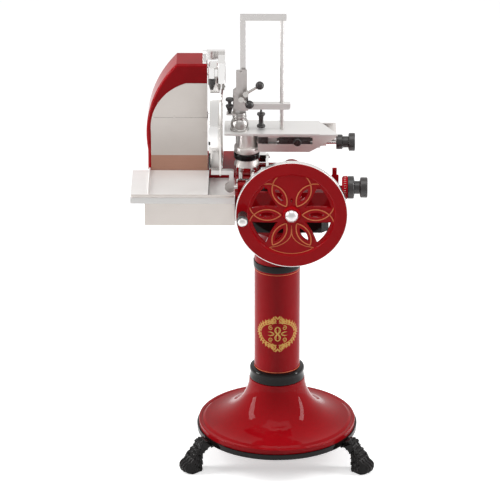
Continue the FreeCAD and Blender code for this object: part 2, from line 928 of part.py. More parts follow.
def base_casting():
    """Red base: an L-shaped hollow casting with webs for the bearings and openings for crank and chain."""
    corner, wall = S.base_corner, S.base_wall
    left, right, front, back = S.base_left, S.base_right, S.base_front, S.base_back
    block = plate("base_block", base_plan(sized(0)), S.base_height, (0, 0, base_floor()))
    wing = plate(
        "base_wing", rounded(S.wing_left, S.wing_front, S.wing_right, S.wing_back, corner), S.base_height,
        (0, 0, base_floor()),
    )
    axle = (S.wheel_x, S.wheel_z)
    hood = rod(
        "gear_hood", S.gear_hood_radius, S.gear_hood_back - S.gear_hood_front,
        (axle[0], S.gear_hood_back, axle[1]), FRONT,
    )
    nose = turned(
        "nose", [
            (0, 0), (S.nose_radius + 8, 0), (S.nose_radius + 8, 4), (S.nose_radius, 14),
            (S.nose_radius, S.nose_length - 3), (S.nose_radius - 3, S.nose_length), (0, S.nose_length),
        ],
        (axle[0], front, axle[1]), FRONT,
    )
    spots = [(S.plate_bolt_x * i, S.plate_bolt_y * j) for i in (-1, 1) for j in (-1, 1)]
    shell = joined("base_shell", block, wing, hood, nose)
    crank_bay_left = left + wall
    bays = [
        bay("crank_bay", crank_bay_left, S.web_left, front + wall, back - wall),
        bay("wing_bay", S.wing_web_right, left, S.wing_front + wall, S.wing_back - wall),
        bay("sprocket_bay", S.wing_left + wall, S.wing_web_left, S.wing_front + wall, S.wing_back - wall),
    ]
    gear_bays = doc.addObject("Part::Common", "gear_bays")
    gear_bays.Base = plate("gear_bay_plan", base_plan(wall), S.base_height - S.base_deck, (0, 0, base_floor()))
    gear_bays.Tool = joined(
        "gear_bay_halves",
        bay("front_gear_bay", S.web_right, right, front, S.gear_web_front),
        bay("rear_gear_bay", S.web_right, right, S.gear_web_back, back),
    )
    bays.append(gear_bays)
    inner = S.gear_hood_radius - S.gear_hood_wall
    hood_spaces = [
        rod("front_hood_space", inner, S.gear_web_front - S.gear_hood_front - S.gear_hood_wall * 2,
            (axle[0], S.gear_web_front, axle[1]), FRONT),
        rod("rear_hood_space", inner, S.gear_hood_back - S.gear_hood_wall - S.gear_web_back,
            (axle[0], S.gear_hood_back - S.gear_hood_wall, axle[1]), FRONT),
    ]
    hollows = joined("base_hollows", *bays, *hood_spaces)
    bosses = [
        rod(f"bolt_boss_{i}", S.bolt_boss_radius, S.bolt_boss_height, (u, v, base_floor()))
        for i, (u, v) in enumerate(spots)
    ]
    cast = joined("base_cast", without("base_opened", shell, hollows), *bosses)
    bush = S.shaft_radius + S.bush_wall
    crank_bush = S.crank_shaft_radius + S.bush_wall
    drive_bush = S.drive_shaft_radius + S.bush_wall
    sweep = S.crank_throw + S.crank_boss_radius + 2
    bores = [
        rod("axle_bore", bush, S.nose_length + wall + 2, (axle[0], front + wall + 1, axle[1]), FRONT),
        rod("axle_web_bore", bush, S.gear_web_back - S.gear_web_front + 2, (axle[0], S.gear_web_back + 1, axle[1]),
            FRONT),
        rod("crank_bore", crank_bush, S.web_right - S.web_left + 2, (S.web_left - 1, S.crank_y, S.wheel_z), RIGHT),
        rod("drive_web_bore", drive_bush, S.web_right - S.web_left + 2, (S.web_left - 1, S.drive_y, S.wheel_z),
            RIGHT),
        rod("drive_wall_bore", drive_bush, wall + 2, (left - 1, S.drive_y, S.wheel_z), RIGHT),
        rod("drive_wing_bore", drive_bush, S.wing_web_right - S.wing_web_left + 2,
            (S.wing_web_left - 1, S.drive_y, S.wheel_z), RIGHT),
        bar("crank_slot", S.crank_left - S.crank_slot_clearance, S.rod_x + S.rod_thickness + S.crank_slot_clearance,
            S.crank_y - sweep - 2, S.crank_slot_back, deck() - S.base_deck - 1, deck() + 1),
        bar("chain_slot", S.sprocket_x - 12, S.sprocket_x + S.sprocket_width + 8,
            S.drive_y - S.large_sprocket_radius - 12, S.drive_y + S.large_sprocket_radius + 12,
            deck() - S.base_deck - 1, deck() + 1),
    ]
    bores += [
        rod(f"bolt_hole_{i}", S.plate_bolt_hole, S.bolt_boss_height - 6, (u, v, base_floor() - 1))
        for i, (u, v) in enumerate(spots)
    ]
    node(without("base_casting", cast, *bores))


def bush(name, shaft, length, at, turn):
    """Bronze bush that fills its bore and runs on its shaft."""
    return turned(name, rectangle(shaft + S.running_gap, 0, shaft + S.bush_wall, length), at, turn)


def bushes():
    """Plain bearings of the flywheel shaft, crank shaft and blade drive shaft."""
    wall = S.base_wall
    web = S.web_right - S.web_left
    wing_web = S.wing_web_right - S.wing_web_left
    front = (S.wheel_x, S.base_front + wall, S.wheel_z)
    rear = (S.wheel_x, S.gear_web_back, S.wheel_z)
    node(grouped(
        "shaft_bushes",
        bush("front_bush", S.shaft_radius, S.nose_length + wall, front, FRONT),
        bush("rear_bush", S.shaft_radius, S.gear_web_back - S.gear_web_front, rear, FRONT),
        bush("crank_bush", S.crank_shaft_radius, web, (S.web_left, S.crank_y, S.wheel_z), RIGHT),
        bush("drive_bush", S.drive_shaft_radius, web, (S.web_left, S.drive_y, S.wheel_z), RIGHT),
        bush("wing_bush", S.drive_shaft_radius, wing_web, (S.wing_web_left, S.drive_y, S.wheel_z), RIGHT),
    ))


# ---------------------------------------------------------------- flywheel, gears and crank


def bevel_gear(name, radius, mate_radius, teeth, module, bore, at, turn, phase=0.0):
    """Straight bevel gear whose big end lies in the local xy plane and whose teeth shrink towards the apex."""
    reach = S.bevel_face / mate_radius
    shrink = 1 - reach
    root = radius - module * 1.3
    tip = radius + module * 0.7
    body = turned(name, [
        (bore, -S.bevel_hub), (bore + S.bevel_hub_wall, -S.bevel_hub), (root, 0), (root * shrink, S.bevel_face),
        (bore, S.bevel_face),
    ], at, turn)
    sections = []
    for lift, scale in ((sized(0), sized(1)), (S.bevel_face, shrink)):
        sketch = new_sketch(body, "XY_Plane", lift)
        foot = module * 0.62 * scale
        crest = module * 0.26 * scale
        inside = (root - module * 0.3) * scale
        outline(sketch, [(inside, -foot), (tip * scale, -crest), (tip * scale, crest), (inside, foot)])
        sections.append(sketch)
    tooth = body.newObject("PartDesign::AdditiveLoft", f"{name}_tooth")
    tooth.Profile = sections[0]
    tooth.Sections = [sections[1]]
    repeat(body, [tooth], teeth, f"{name}_teeth")
    body.Placement = Placement(body.Placement.Base, turn.multiply(Rotation(Vector(0, 0, 1), phase)))
    return body


def window(angle):
    """Outline of one of the flywheel's windows between two petals, centred on an angle."""
    apex = polar(S.window_apex_radius, angle)
    start = polar(S.window_radius, angle - 20)
    end = polar(S.window_radius, angle + 20)
    return [
        (*apex, -S.window_bend), (*start, S.window_radius), (*end, -S.window_bend),
    ]


def flywheel():
    """Cast flywheel with six pierced petals and four windows, its polished band, hub cap and shaft."""
    rim_back, web_back = S.wheel_rim_back, S.wheel_web_back
    rim_front, web_front = rim_back + S.wheel_rim_depth, web_back + S.wheel_web
    inner, outer, hub = S.rim_inner_radius, S.wheel_radius, S.wheel_hub_radius
    at = (S.wheel_x, S.wheel_back, S.wheel_z)
    wheel = turned("flywheel", [
        (S.shaft_radius, 0), (hub - 2, 0), (hub, 2), (hub, web_back), (inner, web_back), (inner + 3, rim_back),
        (outer, rim_back), (outer, rim_front), (inner + 3, rim_front), (inner, rim_front - 2),
        (inner - 3, web_front), (hub, web_front), (hub - 4, S.wheel_hub_length), (S.shaft_radius, S.wheel_hub_length),
    ], at, FRONT)
    sketch = new_sketch(wheel, "XY_Plane", web_front)
    outline(sketch, [(S.petal_root_radius, 0, S.petal_bend), (S.petal_tip_radius, 0, S.petal_bend)])
    lip = wheel.newObject("PartDesign::Pad", "petal_lip")
    lip.Profile = sketch
    bind(lip, "Length", S.petal_lip)
    repeat(wheel, [lip], 6, "petal_lips")
    hole = cut_through(wheel, "petal_hole", [
        (S.petal_hole_root_radius, 0, S.petal_hole_bend), (S.petal_hole_tip_radius, 0, S.petal_hole_bend),
    ])
    repeat(wheel, [hole], 6, "petal_holes")
    cut_through(wheel, "windows", window(30), window(150), window(210), window(330))
    cut_through(wheel, "eyelet", [
        (0, S.eyelet_root_radius, S.eyelet_bend), (0, S.eyelet_tip_radius, S.eyelet_bend),
    ])
    sketch = new_sketch(wheel, "XY_Plane")
    round_outline(sketch, (-S.handle_throw, 0), S.spindle_radius)
    seat = wheel.newObject("PartDesign::Pocket", "spindle_seat")
    seat.Profile = sketch
    seat.Type = "ThroughAll"
    seat.Reversed = True
    wheel.Tip = seat
    node(wheel)
    middle = (rim_back + rim_front) / 2
    band = rectangle(
        outer, middle - S.wheel_band_width / 2, outer + S.wheel_band, middle + S.wheel_band_width / 2
    )
    node(turned("wheel_band", band, at, FRONT))
    nose = S.wheel_hub_length + S.shaft_nose
    length = S.shaft_back - S.wheel_back
    node(turned("flywheel_shaft", [
        (0, -length), (S.shaft_radius - 1, -length), (S.shaft_radius, 1 - length), (S.shaft_radius, nose - 1),
        (S.shaft_radius - 1, nose), (0, nose),
    ], at, FRONT))
    cap, height = S.hub_cap_radius, S.hub_cap_height
    node(turned("hub_cap", [
        (S.shaft_radius, S.wheel_hub_length), (cap, S.wheel_hub_length), (cap, S.wheel_hub_length + 3, dome(cap, height - 3)),
        (0, S.wheel_hub_length + height), (0, nose), (S.shaft_radius, nose),
    ], at, FRONT))


def handle():
    """Spindle screwed into the rim, the grip that turns on it and the cap that keeps the grip on."""
    x = S.wheel_x - S.handle_throw
    face = S.wheel_back - S.wheel_rim_back - S.wheel_rim_depth
    at = (x, face, S.wheel_z)
    gap = S.slide_gap
    bore = S.spindle_radius + S.running_gap
    end = S.grip_length + gap
    grip, waist = S.grip_radius, S.grip_waist
    node(turned("handle_grip", [
        (bore, gap), (waist, gap), (waist + 1, gap + 3), (waist, gap + 10, -60), (grip, end - 16, 14),
        (grip - 1, end - 2), (grip - 3, end), (bore, end),
    ], at, FRONT))
    cap, start = S.grip_cap_radius, end + gap
    node(turned("handle_spindle", [
        (0, -S.wheel_rim_depth), (S.spindle_radius, -S.wheel_rim_depth), (S.spindle_radius, start), (cap, start),
        (cap, start + 2, dome(cap, S.grip_cap_height - 2)), (0, start + S.grip_cap_height),
    ], at, FRONT))


def carriage_crank():
    """Crank shaft with its mitre gear and the crank arm that drives the connecting rod."""
    axis = (S.crank_y, S.wheel_z)
    right = S.wheel_x - S.mitre_radius + S.bevel_face
    left = S.crank_left
    shaft = rod("crank_rod", S.crank_shaft_radius, right - left, (left, *axis), RIGHT)
    hub, boss, throw = S.crank_hub_radius, S.crank_boss_radius, S.crank_throw
    arm = plate("crank_arm", [
        (hub, -4), (boss, throw, boss + 0.2), (-boss, throw), (-hub, -4, hub + 0.6),
    ], S.crank_thickness, (left, *axis), RIGHT)
    pin = rod("crank_pin", S.crank_pin_radius, S.crank_thickness + S.crank_pin_length,
              (left, S.crank_y, S.wheel_z + throw), RIGHT)
    node(joined("crank_shaft", shaft, arm, pin))
    mitre = S.mitre_radius
    node(bevel_gear("crank_gear", mitre, mitre, 22, S.bevel_module, S.crank_shaft_radius,
                    (S.wheel_x - mitre, *axis), RIGHT, 180 / 22))


def sprocket(name, radius, teeth, bore, at):
    """Chain wheel with short square teeth."""
    body = turned(name, rectangle(bore, 0, radius, S.sprocket_width), at, RIGHT)
    sketch = new_sketch(body, "XY_Plane")
    half, tip = S.sprocket_tooth_width / 2, radius + S.sprocket_tooth
    outline(sketch, [(radius - 2, -half), (tip, -half / 2), (tip, half / 2), (radius - 2, half)])
    tooth = body.newObject("PartDesign::Pad", f"{name}_tooth")
    tooth.Profile = sketch
    bind(tooth, "Length", S.sprocket_width)
    repeat(body, [tooth], teeth, f"{name}_teeth")
    return body


def blade_drive():
    """Bevel pair, shaft, sprockets and chain that take the flywheel's turning up to the blade."""
    axis = (S.drive_y, S.wheel_z)
    pinion_x = S.wheel_x - S.drive_gear_radius
    right = pinion_x + S.bevel_face
    shaft = rod("drive_rod", S.drive_shaft_radius, right - S.drive_shaft_left, (S.drive_shaft_left, *axis), RIGHT)
    pinion = bevel_gear("drive_pinion", S.drive_pinion_radius, S.drive_gear_radius, 18, S.drive_module,
                        S.drive_shaft_radius, (pinion_x, *axis), RIGHT, 10.0)
    wheel = sprocket("large_sprocket", S.large_sprocket_radius, 20, S.drive_shaft_radius, (S.sprocket_x, *axis))
    node(joined("drive_shaft", shaft, pinion, wheel))
    mitre = S.mitre_radius
    node(grouped(
        "shaft_gears",
        bevel_gear("crank_drive_gear", mitre, mitre, 22, S.bevel_module, S.shaft_radius,
                   (S.wheel_x, S.crank_y - mitre, S.wheel_z), BACK),
        bevel_gear("blade_drive_gear", S.drive_gear_radius, S.drive_pinion_radius, 36, S.drive_module,
                   S.shaft_radius, (S.wheel_x, S.drive_y - S.drive_pinion_radius, S.wheel_z), BACK),
    ))
    rise, lean = S.blade_z - S.wheel_z, S.blade_y - S.drive_y
    low = S.large_sprocket_radius + S.sprocket_tooth + S.chain_gap
    high = S.small_sprocket_radius + S.sprocket_tooth + S.chain_gap
    link = S.chain_thickness
    outer = plate("chain_outer", chain_loop(low + link, high + link, rise, lean), S.sprocket_width,
                  (S.sprocket_x, *axis), RIGHT)
    inner = plate("chain_inner", chain_loop(low, high, rise, lean), S.sprocket_width + 2,
                  (S.sprocket_x - 1, *axis), RIGHT)
    node(without("drive_chain", outer, inner))


def chain_loop(low, high, rise, lean):
    """Outline of a loop round two wheels, one above the other and a little to the side."""
    return [
        (low, 0), (lean + high, rise, high), (lean, rise + high, high), (lean - high, rise), (-low, 0, low),
        (0, -low, low),
    ]


# ---------------------------------------------------------------- blade


def blade():
    """Dished round blade on its arbor, with the cover plate over its middle."""
    edge, dish, thick = S.blade_edge_x, S.blade_dish, S.blade_thickness
    radius, seat = S.blade_radius, S.blade_seat_radius
    at = (edge, S.blade_y, S.blade_z)
    flange_x = -dish - thick
    node(turned("blade", [
        (S.arbor_radius, flange_x), (seat, flange_x), (radius - S.blade_bevel, -thick - 1), (radius, -0.8),
        (radius, 0), (radius - S.blade_bevel, -1), (seat + 2, -dish), (S.arbor_radius, -dish),
    ], at, RIGHT))
    left = S.sprocket_x - edge - 4
    arbor = turned("blade_spindle", [
        (0, left), (S.arbor_radius, left), (S.arbor_radius, flange_x - S.arbor_flange),
        (S.arbor_flange_radius, flange_x - S.arbor_flange), (S.arbor_flange_radius, flange_x),
        (S.arbor_radius, flange_x), (S.arbor_radius, -dish), (0, -dish),
    ], at, RIGHT)
    wheel = sprocket("small_sprocket", S.small_sprocket_radius, 10, S.arbor_radius,
                     (S.sprocket_x, S.blade_y, S.blade_z))
    node(joined("blade_arbor", arbor, wheel))
    plate_radius, plate_thick = S.hub_plate_radius, S.hub_plate_thickness
    cover = turned("cover_plate", [
        (0, -dish), (plate_radius, -dish), (plate_radius, plate_thick - dish - 2),
        (plate_radius - 3, plate_thick - dish), (0, plate_thick - dish),
    ], at, RIGHT)
    screws = []
    for i in range(3):
        u, v = polar(plate_radius * 0.6, 90 + 120 * i)
        screws.append(rod(f"cover_screw_{i}", 5, 2, (edge + plate_thick - dish, S.blade_y + u, S.blade_z + v),
                          RIGHT))
    node(joined("blade_cover", cover, *screws))


def guard():
    """Channel-shaped guard round the back of the blade and the three stays that hold it to the hood."""
    inner = S.blade_radius + S.guard_gap
    outer = inner + S.guard_width
    depth = S.guard_right - S.guard_left
    wall = S.guard_wall
    ring = turned("guard_ring", [
        (inner, depth - wall), (inner + wall, depth - wall), (outer - wall, depth - wall), (outer - wall, 0),
        (outer - 2, 0), (outer, 2), (outer, depth - 3, 3), (outer - 3, depth), (inner, depth),
    ], (S.guard_left, S.blade_y, S.blade_z), RIGHT, S.guard_sweep_angle)
    ring.Placement = Placement(ring.Placement.Base, RIGHT.multiply(Rotation(Vector(0, 0, 1), S.guard_start_angle.number)))
    stays = []
    reach = outer - S.guard_wall - 9
    for i, angle in enumerate((-20, 35, 82)):
        u, v = polar(reach, angle)
        stays.append(rod(
            f"guard_stay_{i}", 8, S.guard_right - S.guard_wall - S.hood_right,
            (S.hood_right, S.blade_y + u, S.blade_z + v), RIGHT,
        ))
    node(joined("blade_guard", ring, *stays))


def bearing_housing():
    """Cast post inside the hood that carries the blade arbor in two ball bearings."""
    left, right = S.housing_left, S.housing_right
    half, foot = S.housing_post_width / 2, S.housing_foot_width / 2
    rise = S.blade_z - deck()
    post = plate("housing_post", [
        (-foot, 0), (foot, 0), (foot, 10), (half, 24), (half * 0.8, rise), (-half * 0.8, rise), (-half, 24),
        (-foot, 10),
    ], right - left - 16, (left + 8, S.blade_y, deck()), RIGHT)
    barrel = rod("housing_barrel", S.housing_radius, right - left, (left, S.blade_y, S.blade_z), RIGHT)
    bore = rod("housing_bore", S.arbor_radius + 2, right - left + 2, (left - 1, S.blade_y, S.blade_z), RIGHT)
    width, outer = S.bearing_width, S.bearing_outer
    seats = [
        rod("left_bearing_seat", outer, width, (left, S.blade_y, S.blade_z), RIGHT),
        rod("right_bearing_seat", outer, width, (right - width, S.blade_y, S.blade_z), RIGHT),
    ]
    node(without("bearing_housing", joined("housing_cast", post, barrel), bore, *seats))
    race = rectangle(S.arbor_radius + S.running_gap, 0, outer, width)
    node(grouped(
        "ball_bearings",
        turned("left_bearing", race, (left, S.blade_y, S.blade_z), RIGHT),
        turned("right_bearing", race, (right - width, S.blade_y, S.blade_z), RIGHT),
    ))


def hood_outline(inset, bottom):
    """Outline of the hood seen from the front, drawn in by a wall's thickness."""
    return [
        (S.hood_right - inset, bottom),
        (S.hood_right - inset, S.hood_top - inset),
        (S.hood_shoulder_x + inset * 0.5, S.hood_top - inset, S.hood_bend - inset),
        (S.hood_left + inset, S.hood_side_z),
        (S.hood_left + inset, bottom),
    ]


def hood():
    """Red hood over the bearing housing: a curved shell open below, with a hole for the arbor."""
    solid = plate("hood_solid", hood_outline(sized(0), S.hood_bottom), S.hood_depth,
                  (0, S.hood_front + S.hood_depth, 0), FRONT)
    wall = S.hood_wall
    space = plate("hood_space", hood_outline(wall, S.hood_bottom - 1), S.hood_depth - wall * 2,
                  (0, S.hood_front + S.hood_depth - wall, 0), FRONT)
    arbor = rod("hood_arbor_hole", S.arbor_radius + 8, wall + 4,
                (S.hood_right - wall - 2, S.blade_y, S.blade_z), RIGHT)
    edge = S.hood_edge
    round_solid = solid.newObject("PartDesign::Fillet", "hood_fillet")
    doc.recompute()
    pad = next(f for f in solid.Group if f.TypeId == "PartDesign::Pad")
    picked = []
    for index, line in enumerate(pad.Shape.Edges, start=1):
        box = line.BoundBox
        if box.ZLength < 0.01 and box.YMax > S.hood_bottom.number + 1 and box.XMin < S.hood_right.number - 1:
            picked.append(f"Edge{index}")
    round_solid.Base = (pad, picked)
    bind(round_solid, "Radius", edge)
    solid.Tip = round_solid
    node(without("hood", solid, space, arbor))


def deflector():
    """Steel deflector on the hood's front face, its bronze foot strip and two screws."""
    back = S.hood_front
    thick = S.deflector_thickness
    sheet = plate("deflector_sheet", [
        (S.deflector_left, S.deflector_foot_top), (S.hood_right, S.deflector_foot_top),
        (S.hood_right, S.deflector_top), (S.deflector_bend_x, S.deflector_top, S.deflector_bend),
        (S.deflector_left, S.deflector_side_z),
    ], thick, (0, back, 0), FRONT)
    node(plate("deflector_foot", rectangle(
        S.deflector_left, S.hood_bottom, S.hood_right, S.deflector_foot_top,
    ), S.deflector_foot_thickness, (0, back, 0), FRONT))
    screws = [
        rod("deflector_screw_1", S.deflector_screw_radius, 1.6,
            (S.deflector_bend_x - S.deflector_screw_inset, back - thick, S.deflector_top - S.deflector_screw_drop), FRONT),
        rod("deflector_screw_2", S.deflector_screw_radius, 1.6,
            (S.hood_right - 11, back - thick, S.deflector_top - S.deflector_edge_screw_drop), FRONT),
    ]
    node(joined("deflector", sheet, *screws))


def tray():
    """Receiving tray with its side rail and front lip."""
    top, thick = S.hood_bottom, S.tray_thickness
    sheet = bar("tray_sheet", S.tray_left, S.tray_right, S.tray_front, S.hood_front - thick, top - thick, top)
    shelf = bar("tray_shelf", S.tray_right, S.tray_lip_right, S.tray_front, S.tray_front + 26, top - thick, top)
    lip = bar("tray_lip", S.tray_left, S.tray_lip_right, S.tray_front, S.tray_front + thick,
              top - thick - S.tray_lip, top)
    rail = plate("tray_rail", [
        (0, 0), (S.tray_rail_width, 0), (S.tray_rail_width, S.tray_rail_height - 2),
        (S.tray_rail_width - 2, S.tray_rail_height), (2, S.tray_rail_height), (0, S.tray_rail_height - 2),
    ], S.hood_front - thick - S.tray_front, (S.tray_rail_x, S.hood_front - thick, top), FRONT)
    node(joined("receiving_tray", sheet, shelf, lip, rail))


def side_box():
    """Steel box under the tray, in two lengths: a drip drawer and the end that meets the base."""
    top = deck() - S.box_drop
    bottom = top - S.box_height
    back, wall = S.wing_front, S.box_wall
    boxes = []
    for name, left, right in (("drip_box", S.box_left, S.box_split), ("box_end", S.box_split, S.base_left)):
        outer = bar(f"{name}_outer", left, right, S.box_front, back, bottom, top)
        inner = bar(f"{name}_inner", left + wall, right - wall, S.box_front + wall, back - wall,
                    bottom + wall, top + 1)
        boxes.append(without(name, outer, inner))
    node(joined("side_box", *boxes))


# ---------------------------------------------------------------- thickness gauge


def spool(name, body, waist, flange, at, turn):
    """Spool-shaped knob: body, neck and flange, each given as (radius, length)."""
    neck_start = body[1]
    neck_end = body[1] + waist[1]
    end = neck_end + flange[1]
    return node(turned(name, [
        (0, 0), (body[0] - 2, 0), (body[0], 2), (body[0], neck_start - 3, 3), (body[0] - 3, neck_start),
        (waist[0], neck_start + 2), (waist[0], neck_end - 2), (flange[0] - 2, neck_end),
        (flange[0], neck_end + 2), (flange[0], end - 3, 3), (flange[0] - 3, end), (0, end),
    ], at, turn))


def gauge():
    """Gauge plate in front of the blade, the arm under it and the rod that shifts it along X."""
    left, thick = S.gauge_plate_left, S.gauge_plate_thickness
    blank = plate("gauge_blank", [
        (S.gauge_plate_front + 14, S.gauge_plate_bottom), (S.gauge_plate_back, S.gauge_plate_bottom),
        (S.gauge_plate_back, S.gauge_plate_top), (S.gauge_plate_front + 60, S.gauge_plate_top, 130),
        (S.gauge_plate_front, S.blade_z - 20), (S.gauge_plate_front, S.gauge_plate_bottom + 14, 14),
    ], thick, (left, 0, 0), RIGHT)
    sweep = rod("gauge_sweep", S.blade_radius + S.gauge_blade_gap, thick + 2,
                (left - 1, S.blade_y, S.blade_z), RIGHT)
    node(without("gauge_plate", blank, sweep))
    y, half = S.gauge_y, S.gauge_arm_depth / 2
    top, bottom = S.gauge_arm_top, S.gauge_foot_bottom
    bar_low = top - S.gauge_arm_bar
    arm = plate("gauge_arm_body", [
        (S.gauge_arm_left, bar_low), (S.gauge_arm_right - 14, bar_low), (S.gauge_arm_right - 14, S.gauge_z + 16),
        (S.gauge_arm_right - 26, S.gauge_z + 8, 14), (S.gauge_arm_right - 22, bottom, 14),
        (S.gauge_arm_right, bottom), (S.gauge_arm_right, top - 6, 6),
        (S.gauge_arm_right - 6, top), (S.gauge_arm_left, top),
    ], S.gauge_arm_depth, (0, y + half, 0), FRONT)
    notch = bar("gauge_arm_notch", left, left + thick, y - half - 1, y + half + 1, bar_low - 1, top + 1)
    rod_right = S.base_left + S.guide_length + 30
    slider = rod("gauge_rod", S.gauge_rod_radius, rod_right - S.gauge_arm_right + 4,
                 (S.gauge_arm_right - 4, y, S.gauge_z), RIGHT)
    node(without("gauge_arm", joined("gauge_arm_cast", arm, slider), notch))
    guide = plate("gauge_guide", [
        (y - S.guide_width / 2, deck()), (y + S.guide_width / 2, deck()),
        (y + S.guide_width / 2, deck() + S.guide_height - 8, 8),
        (y + S.guide_width / 2 - 8, deck() + S.guide_height),
        (y - S.guide_width / 2 + 8, deck() + S.guide_height, 8),
        (y - S.guide_width / 2, deck() + S.guide_height - 8),
    ], S.guide_length, (S.base_left + 8, 0, 0), RIGHT, [(y, S.gauge_z, S.gauge_rod_radius + S.running_gap)])
    return guide


def thickness_control(guide):
    """Knob, dial and shaft that set the slice, in a red bracket with a steel pointer."""
    y, z = S.gauge_y, S.gauge_z
    left, width = S.bracket_left, S.bracket_width
    bore = S.gauge_rod_radius + S.running_gap
    base, top = deck(), S.bracket_top - S.pointer_height
    half, waist = width / 2, S.bracket_waist
    bracket = plate("knob_bracket", [
        (y - 9, base), (y + half + 4, base), (y + half, z + 8), (y + waist, top), (y - waist, top),
        (y - 9, z + 8),
    ], width, (left, 0, 0), RIGHT, [(y, z, bore)])
    pointer = plate("pointer", [
        (y - waist, top), (y + waist, top), (y + waist - 2, S.bracket_top - 5, 6.1), (y - waist + 2, S.bracket_top - 5),
    ], width - 8, (left + 2, 0, 0), RIGHT)
    steady_x = S.wheel_x + 60
    steady = plate("shaft_steady", [
        (y - 9, base), (y + 9, base), (y + 9, z, 9.05), (y - 9, z),
    ], 12, (steady_x, 0, 0), RIGHT, [(y, z, bore)])
    node(grouped("gauge_brackets", guide, steady, joined("dial_bracket", bracket, pointer)))
    shaft = rod("thickness_shaft", S.gauge_rod_radius, S.dial_left - S.thickness_shaft_left + 4,
                (S.thickness_shaft_left, y, z), RIGHT)
    dial = S.dial_radius
    disc = turned("dial_disc", [
        (0, 0), (dial - 5, 0), (dial, 5), (dial, S.dial_length - 2), (dial - 2, S.dial_length),
        (0, S.dial_length),
    ], (S.dial_left, y, z), RIGHT)
    node(joined("thickness_dial", shaft, disc))
    spool("thickness_knob", (S.thick_knob_radius, S.thick_knob_body),
          (S.thick_knob_neck_radius, S.thick_knob_neck), (S.thick_knob_flange_radius, S.thick_knob_flange),
          (S.dial_left + S.dial_length, y, z), RIGHT)


# ---------------------------------------------------------------- carriage


def rails():
    """Two round rails along Y and the end blocks that hold them on the base."""
    offsets = (-S.rail_pitch / 2, S.rail_pitch / 2)
    length = S.rail_back - S.rail_front
    rods = [
        rod(f"rail_{i}", S.rail_radius, length, (S.rail_x + across, S.rail_back, S.rail_z), FRONT)
        for i, across in enumerate(offsets)
    ]
    half, thick = S.rail_block_width / 2, S.rail_block_length
    blocks = [
        plate(name, [
            (-half, deck()), (half, deck()), (half, S.rail_block_top - 8, 8), (half - 8, S.rail_block_top),
            (8 - half, S.rail_block_top, 8), (-half, S.rail_block_top - 8),
        ], thick, (S.rail_x, back, 0), FRONT)
        for name, back in (("front_rail_block", S.rail_front + thick), ("rear_rail_block", S.rail_back))
    ]
    node(joined("carriage_rails", *rods, *blocks))


def saddle():
    """Saddle that runs on the rails, with its two pillars, black collar and connecting-rod pin."""
    half = S.saddle_width / 2
    bottom, top = S.saddle_bottom, S.saddle_top
    back = S.saddle_back
    bore = S.rail_radius + S.running_gap
    block = plate("saddle_block", [
        (-half, bottom), (half, bottom), (half, top - 6, 6), (half - 6, top), (6 - half, top, 6),
        (-half, top - 6),
    ], back - S.saddle_front, (S.rail_x, back, 0), FRONT,
        [(across, S.rail_z, bore) for across in (-S.rail_pitch / 2, S.rail_pitch / 2)])
    lug = bar("saddle_lug", S.rail_x + half - 6, S.rod_x - 1, S.wrist_y - S.wrist_lug / 2,
              S.wrist_y + S.wrist_lug / 2, bottom, top - 1)
    pin_length = 18 + S.rod_thickness + 3
    pin = rod("wrist_pin", S.wrist_pin_radius, pin_length, (S.rod_x - 18, S.wrist_y, S.wrist_z), RIGHT)
    node(joined("saddle", block, lug, pin))
    radius, waist = S.pillar_radius, S.pillar_waist_radius
    low = S.pillar_collar_bottom
    high = low + S.pillar_collar_height
    front = turned("front_pillar", [
        (0, top), (radius, top), (radius, low - 6), (waist, low), (waist, high), (radius, high + 6),
        (radius, S.pillar_top), (0, S.pillar_top),
    ], (S.rail_x, S.pillar_y, 0))
    reach = S.pillar_collar_radius
    node(turned("pillar_collar", [
        (waist, low), (reach - 4, low), (reach, low + 4), (reach, high - 6, 6), (reach - 6, high), (waist, high),
    ], (S.rail_x, S.pillar_y, 0)))
    rear = rod("rear_pillar", S.rear_pillar_radius, S.pillar_top - top, (S.rail_x, S.rear_pillar_y, top))
    node(grouped("carriage_pillars", front, rear))


def connecting_rod():
    """Rod from the carriage's wrist pin to the crank, open at its big end."""
    big, small = S.rod_big_radius, S.rod_small_radius
    drop = S.wheel_z + S.crank_throw - S.wrist_z
    reach = S.crank_y - S.wrist_y
    neck = S.rod_waist / 2
    thick = S.rod_thickness
    at = (S.rod_x, S.wrist_y, S.wrist_z)
    shank = plate("rod_shank", [
        (reach, drop - neck), (0, -neck), (0, neck), (reach, drop + neck),
    ], thick, at, RIGHT)
    eyes = [
        rod("rod_big_eye", big, thick, (S.rod_x, S.crank_y, S.wrist_z + drop), RIGHT),
        rod("rod_small_eye", small, thick, at, RIGHT),
    ]
    bores = [
        rod("rod_big_bore", S.crank_pin_radius + 0.4, thick + 2, (S.rod_x - 1, S.crank_y, S.wrist_z + drop), RIGHT),
        rod("rod_small_bore", S.wrist_pin_radius + S.running_gap, thick + 2,
            (S.rod_x - 1, S.wrist_y, S.wrist_z), RIGHT),
    ]
    node(without("connecting_rod", joined("rod_blank", shank, *eyes), *bores))


def frame_section(inset, top):
    """Outline of the carriage frame seen from the front, drawn in by a wall's thickness."""
    return [
        (S.frame_left + inset, S.frame_bottom + inset),
        (S.frame_bevel_x - inset * 0.3, S.frame_bottom + inset),
        (S.frame_right - inset, S.frame_bevel_z + inset * 0.75),
        (S.frame_right - inset, top),
        (S.frame_left + inset, top),
    ]


